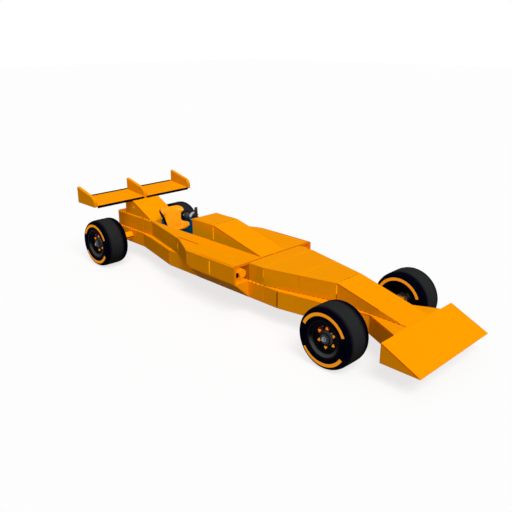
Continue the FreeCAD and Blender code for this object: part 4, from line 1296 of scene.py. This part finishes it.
    def pedals(self, steel):
        """Three pads on bent stalks, seen down the footwell."""
        parts = []
        x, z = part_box("cowl")[0].x + self.PEDAL_REACH, self.PEDAL_Z
        for y, width in self.PEDALS:
            parts.append(plate((width, 0.08, 0.01), 0.006, 0.0015, (x, y, z), (-1, 0, 0.35)))
            parts.append(sweep([Vector((x + ahead, y, z - drop)) for ahead, drop in (
                (0.004, 0.0), (0.03, 0.060), (0.03, 0.083))], 0.006, 10))
        piece("pedals", parts, steel)


def rivet_head(place, normal, radius):
    matrix = frame_at(place - normal * 0.0006, normal,
                      FORWARD if abs(normal.z) > 0.9 else (0, 0, 1))
    return turned([(radius, 0.0), (radius * 0.94, 0.0014), (radius * 0.55, 0.0021),
                   (0.0, 0.0023)], 10, matrix)


def rivet_rows(radius, pitch):
    """Heads along the panel joints of both sides, set on the real surfaces."""
    beside = 0.016    # from a joint to its rivets
    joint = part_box("floor_tub")[1].z
    tail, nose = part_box("rear_floor")[0].x + 0.04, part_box("nose_floor")[1].x - 0.05
    met = [hit_side(nodes, side, tail + index * pitch, height)
           for nodes, height in ((LOWER_TIER, joint - beside), (UPPER_TIER, joint + beside))
           for index in range(int((nose - tail) / pitch) + 1) for _, side in SIDES]
    low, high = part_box("cowl")
    met += [hit_top(UPPER_TIER, low.x + 0.03 + index * pitch, side * (high.y + 0.014))
            for index in range(int((high.x - low.x) / pitch)) for _, side in SIDES]
    return [rivet_head(*found, radius) for found in met if found]


class RACINGCAR_OT_stage(CarOperator, bpy.types.Operator):
    """Lay the floor, hang the lights and set up the camera"""
    bl_idname = "racing_car.stage"
    bl_label = "Stage"

    LIGHT_FROM = (0.548, -0.300, 0.781)
    CAMERA_PLACE = (5.209, -5.203, 3.185)
    CAMERA_TURN = (70.38, -0.07, 45.08)    # degrees
    SUN_SPREAD = 0.6    # radians
    FLOOR_REACH = 60.0
    FLOOR_LEVEL = -0.0005
    FLOOR_GREY = 0.15    # where bounced light meets it
    FLOOR_GLOW = 0.6     # share of its own light where the eye meets it

    def execute(self, context):
        stage = context.scene.car_stage
        scene = context.scene
        scene.view_settings.view_transform = "Standard"
        self.world(scene, stage.ambient)
        self.floor(scene)
        for name, shadow in (("key_light", True), ("fill_light", False)):
            lamp = bpy.data.lights.new(name, "SUN")
            lamp.energy = stage.sun_strength / 2
            lamp.angle = self.SUN_SPREAD
            lamp.use_shadow = shadow
            light = bpy.data.objects.new(name, lamp)
            light.rotation_euler = Vector(self.LIGHT_FROM).to_track_quat("Z", "Y").to_euler()
            scene.collection.objects.link(light)
        lens = bpy.data.cameras.new("camera")
        lens.lens = stage.lens
        lens.sensor_width = 36.0
        lens.clip_end = 200.0
        camera = bpy.data.objects.new("camera", lens)
        camera.location = self.CAMERA_PLACE
        camera.rotation_euler = [math.radians(turn) for turn in self.CAMERA_TURN]
        scene.collection.objects.link(camera)
        scene.camera = camera
        return {"FINISHED"}

    def world(self, scene, ambient):
        """White to the eye and in mirrors, dimmer as a light."""
        scene.world = bpy.data.worlds.new("studio")
        tree = Tree(scene.world)
        backdrop = tree.node("ShaderNodeBackground", None, {
            "Color": WHITE, "Strength": tree.seen() * (1.0 - ambient) + ambient})
        tree.node("ShaderNodeOutputWorld", None, {"Surface": backdrop})

    def floor(self, scene):
        """A pale floor that throws little light back up at the car."""
        mesh = bpy.data.meshes.new("floor")
        size, level = self.FLOOR_REACH, self.FLOOR_LEVEL
        mesh.from_pydata([(-size, -size, level), (size, -size, level), (size, size, level),
                          (-size, size, level)], [], [(0, 1, 2, 3)])
        floor = bpy.data.objects.new("floor", mesh)
        scene.collection.objects.link(floor)
        material = bpy.data.materials.new("pale_floor")
        tree = Tree(material)
        dull, pale = [tree.node("ShaderNodeBsdfDiffuse", None, {"Color": (grey,) * 3})
                      for grey in (self.FLOOR_GREY, 1.0)]
        glow = tree.node("ShaderNodeEmission", None, {"Color": WHITE})
        lit = tree.node("ShaderNodeMixShader", None, {0: self.FLOOR_GLOW, 1: pale, 2: glow})
        both = tree.node("ShaderNodeMixShader", None, {0: tree.seen(), 1: dull, 2: lit})
        tree.node("ShaderNodeOutputMaterial", None, {"Surface": both})
        mesh.materials.append(material)


OPERATORS = (
    RACINGCAR_OT_paint, RACINGCAR_OT_tyres, RACINGCAR_OT_wheel_faces,
    RACINGCAR_OT_seat, RACINGCAR_OT_steering, RACINGCAR_OT_instruments,
    RACINGCAR_OT_seams, RACINGCAR_OT_trim, RACINGCAR_OT_stage,
)
GROUPS = {
    "car_paint": CarPaintSettings,
    "car_wheels": CarWheelSettings,
    "car_trim": CarTrimSettings,
    "car_stage": CarStageSettings,
}


class RACINGCAR_PT_panel(bpy.types.Panel):
    """Settings and steps of the racing car"""
    bl_idname = "RACINGCAR_PT_panel"
    bl_label = "Racing Car"
    bl_space_type = "VIEW_3D"
    bl_region_type = "UI"
    bl_category = "Racing Car"

    def draw(self, context):
        for group in (getattr(context.scene, name) for name in GROUPS):
            column = self.layout.column()
            for name in group.bl_rna.properties.keys():
                if name not in ("rna_type", "name"):
                    column.prop(group, name)
        for operator in OPERATORS:
            self.layout.operator(operator.bl_idname)


def register():
    for name, group in GROUPS.items():
        bpy.utils.register_class(group)
        setattr(bpy.types.Scene, name, PointerProperty(type=group))
    for operator in OPERATORS:
        bpy.utils.register_class(operator)
    bpy.utils.register_class(RACINGCAR_PT_panel)


def unregister():
    bpy.utils.unregister_class(RACINGCAR_PT_panel)
    for operator in reversed(OPERATORS):
        bpy.utils.unregister_class(operator)
    for name, group in GROUPS.items():
        delattr(bpy.types.Scene, name)
        bpy.utils.unregister_class(group)


def main():
    register()
    bpy.ops.racing_car.paint()
    bpy.ops.racing_car.tyres()
    bpy.ops.racing_car.wheel_faces()
    bpy.ops.racing_car.seat()
    bpy.ops.racing_car.steering()
    bpy.ops.racing_car.instruments()
    bpy.ops.racing_car.seams()
    bpy.ops.racing_car.trim()
    bpy.ops.racing_car.stage()


if __name__ == "__main__":
    main()
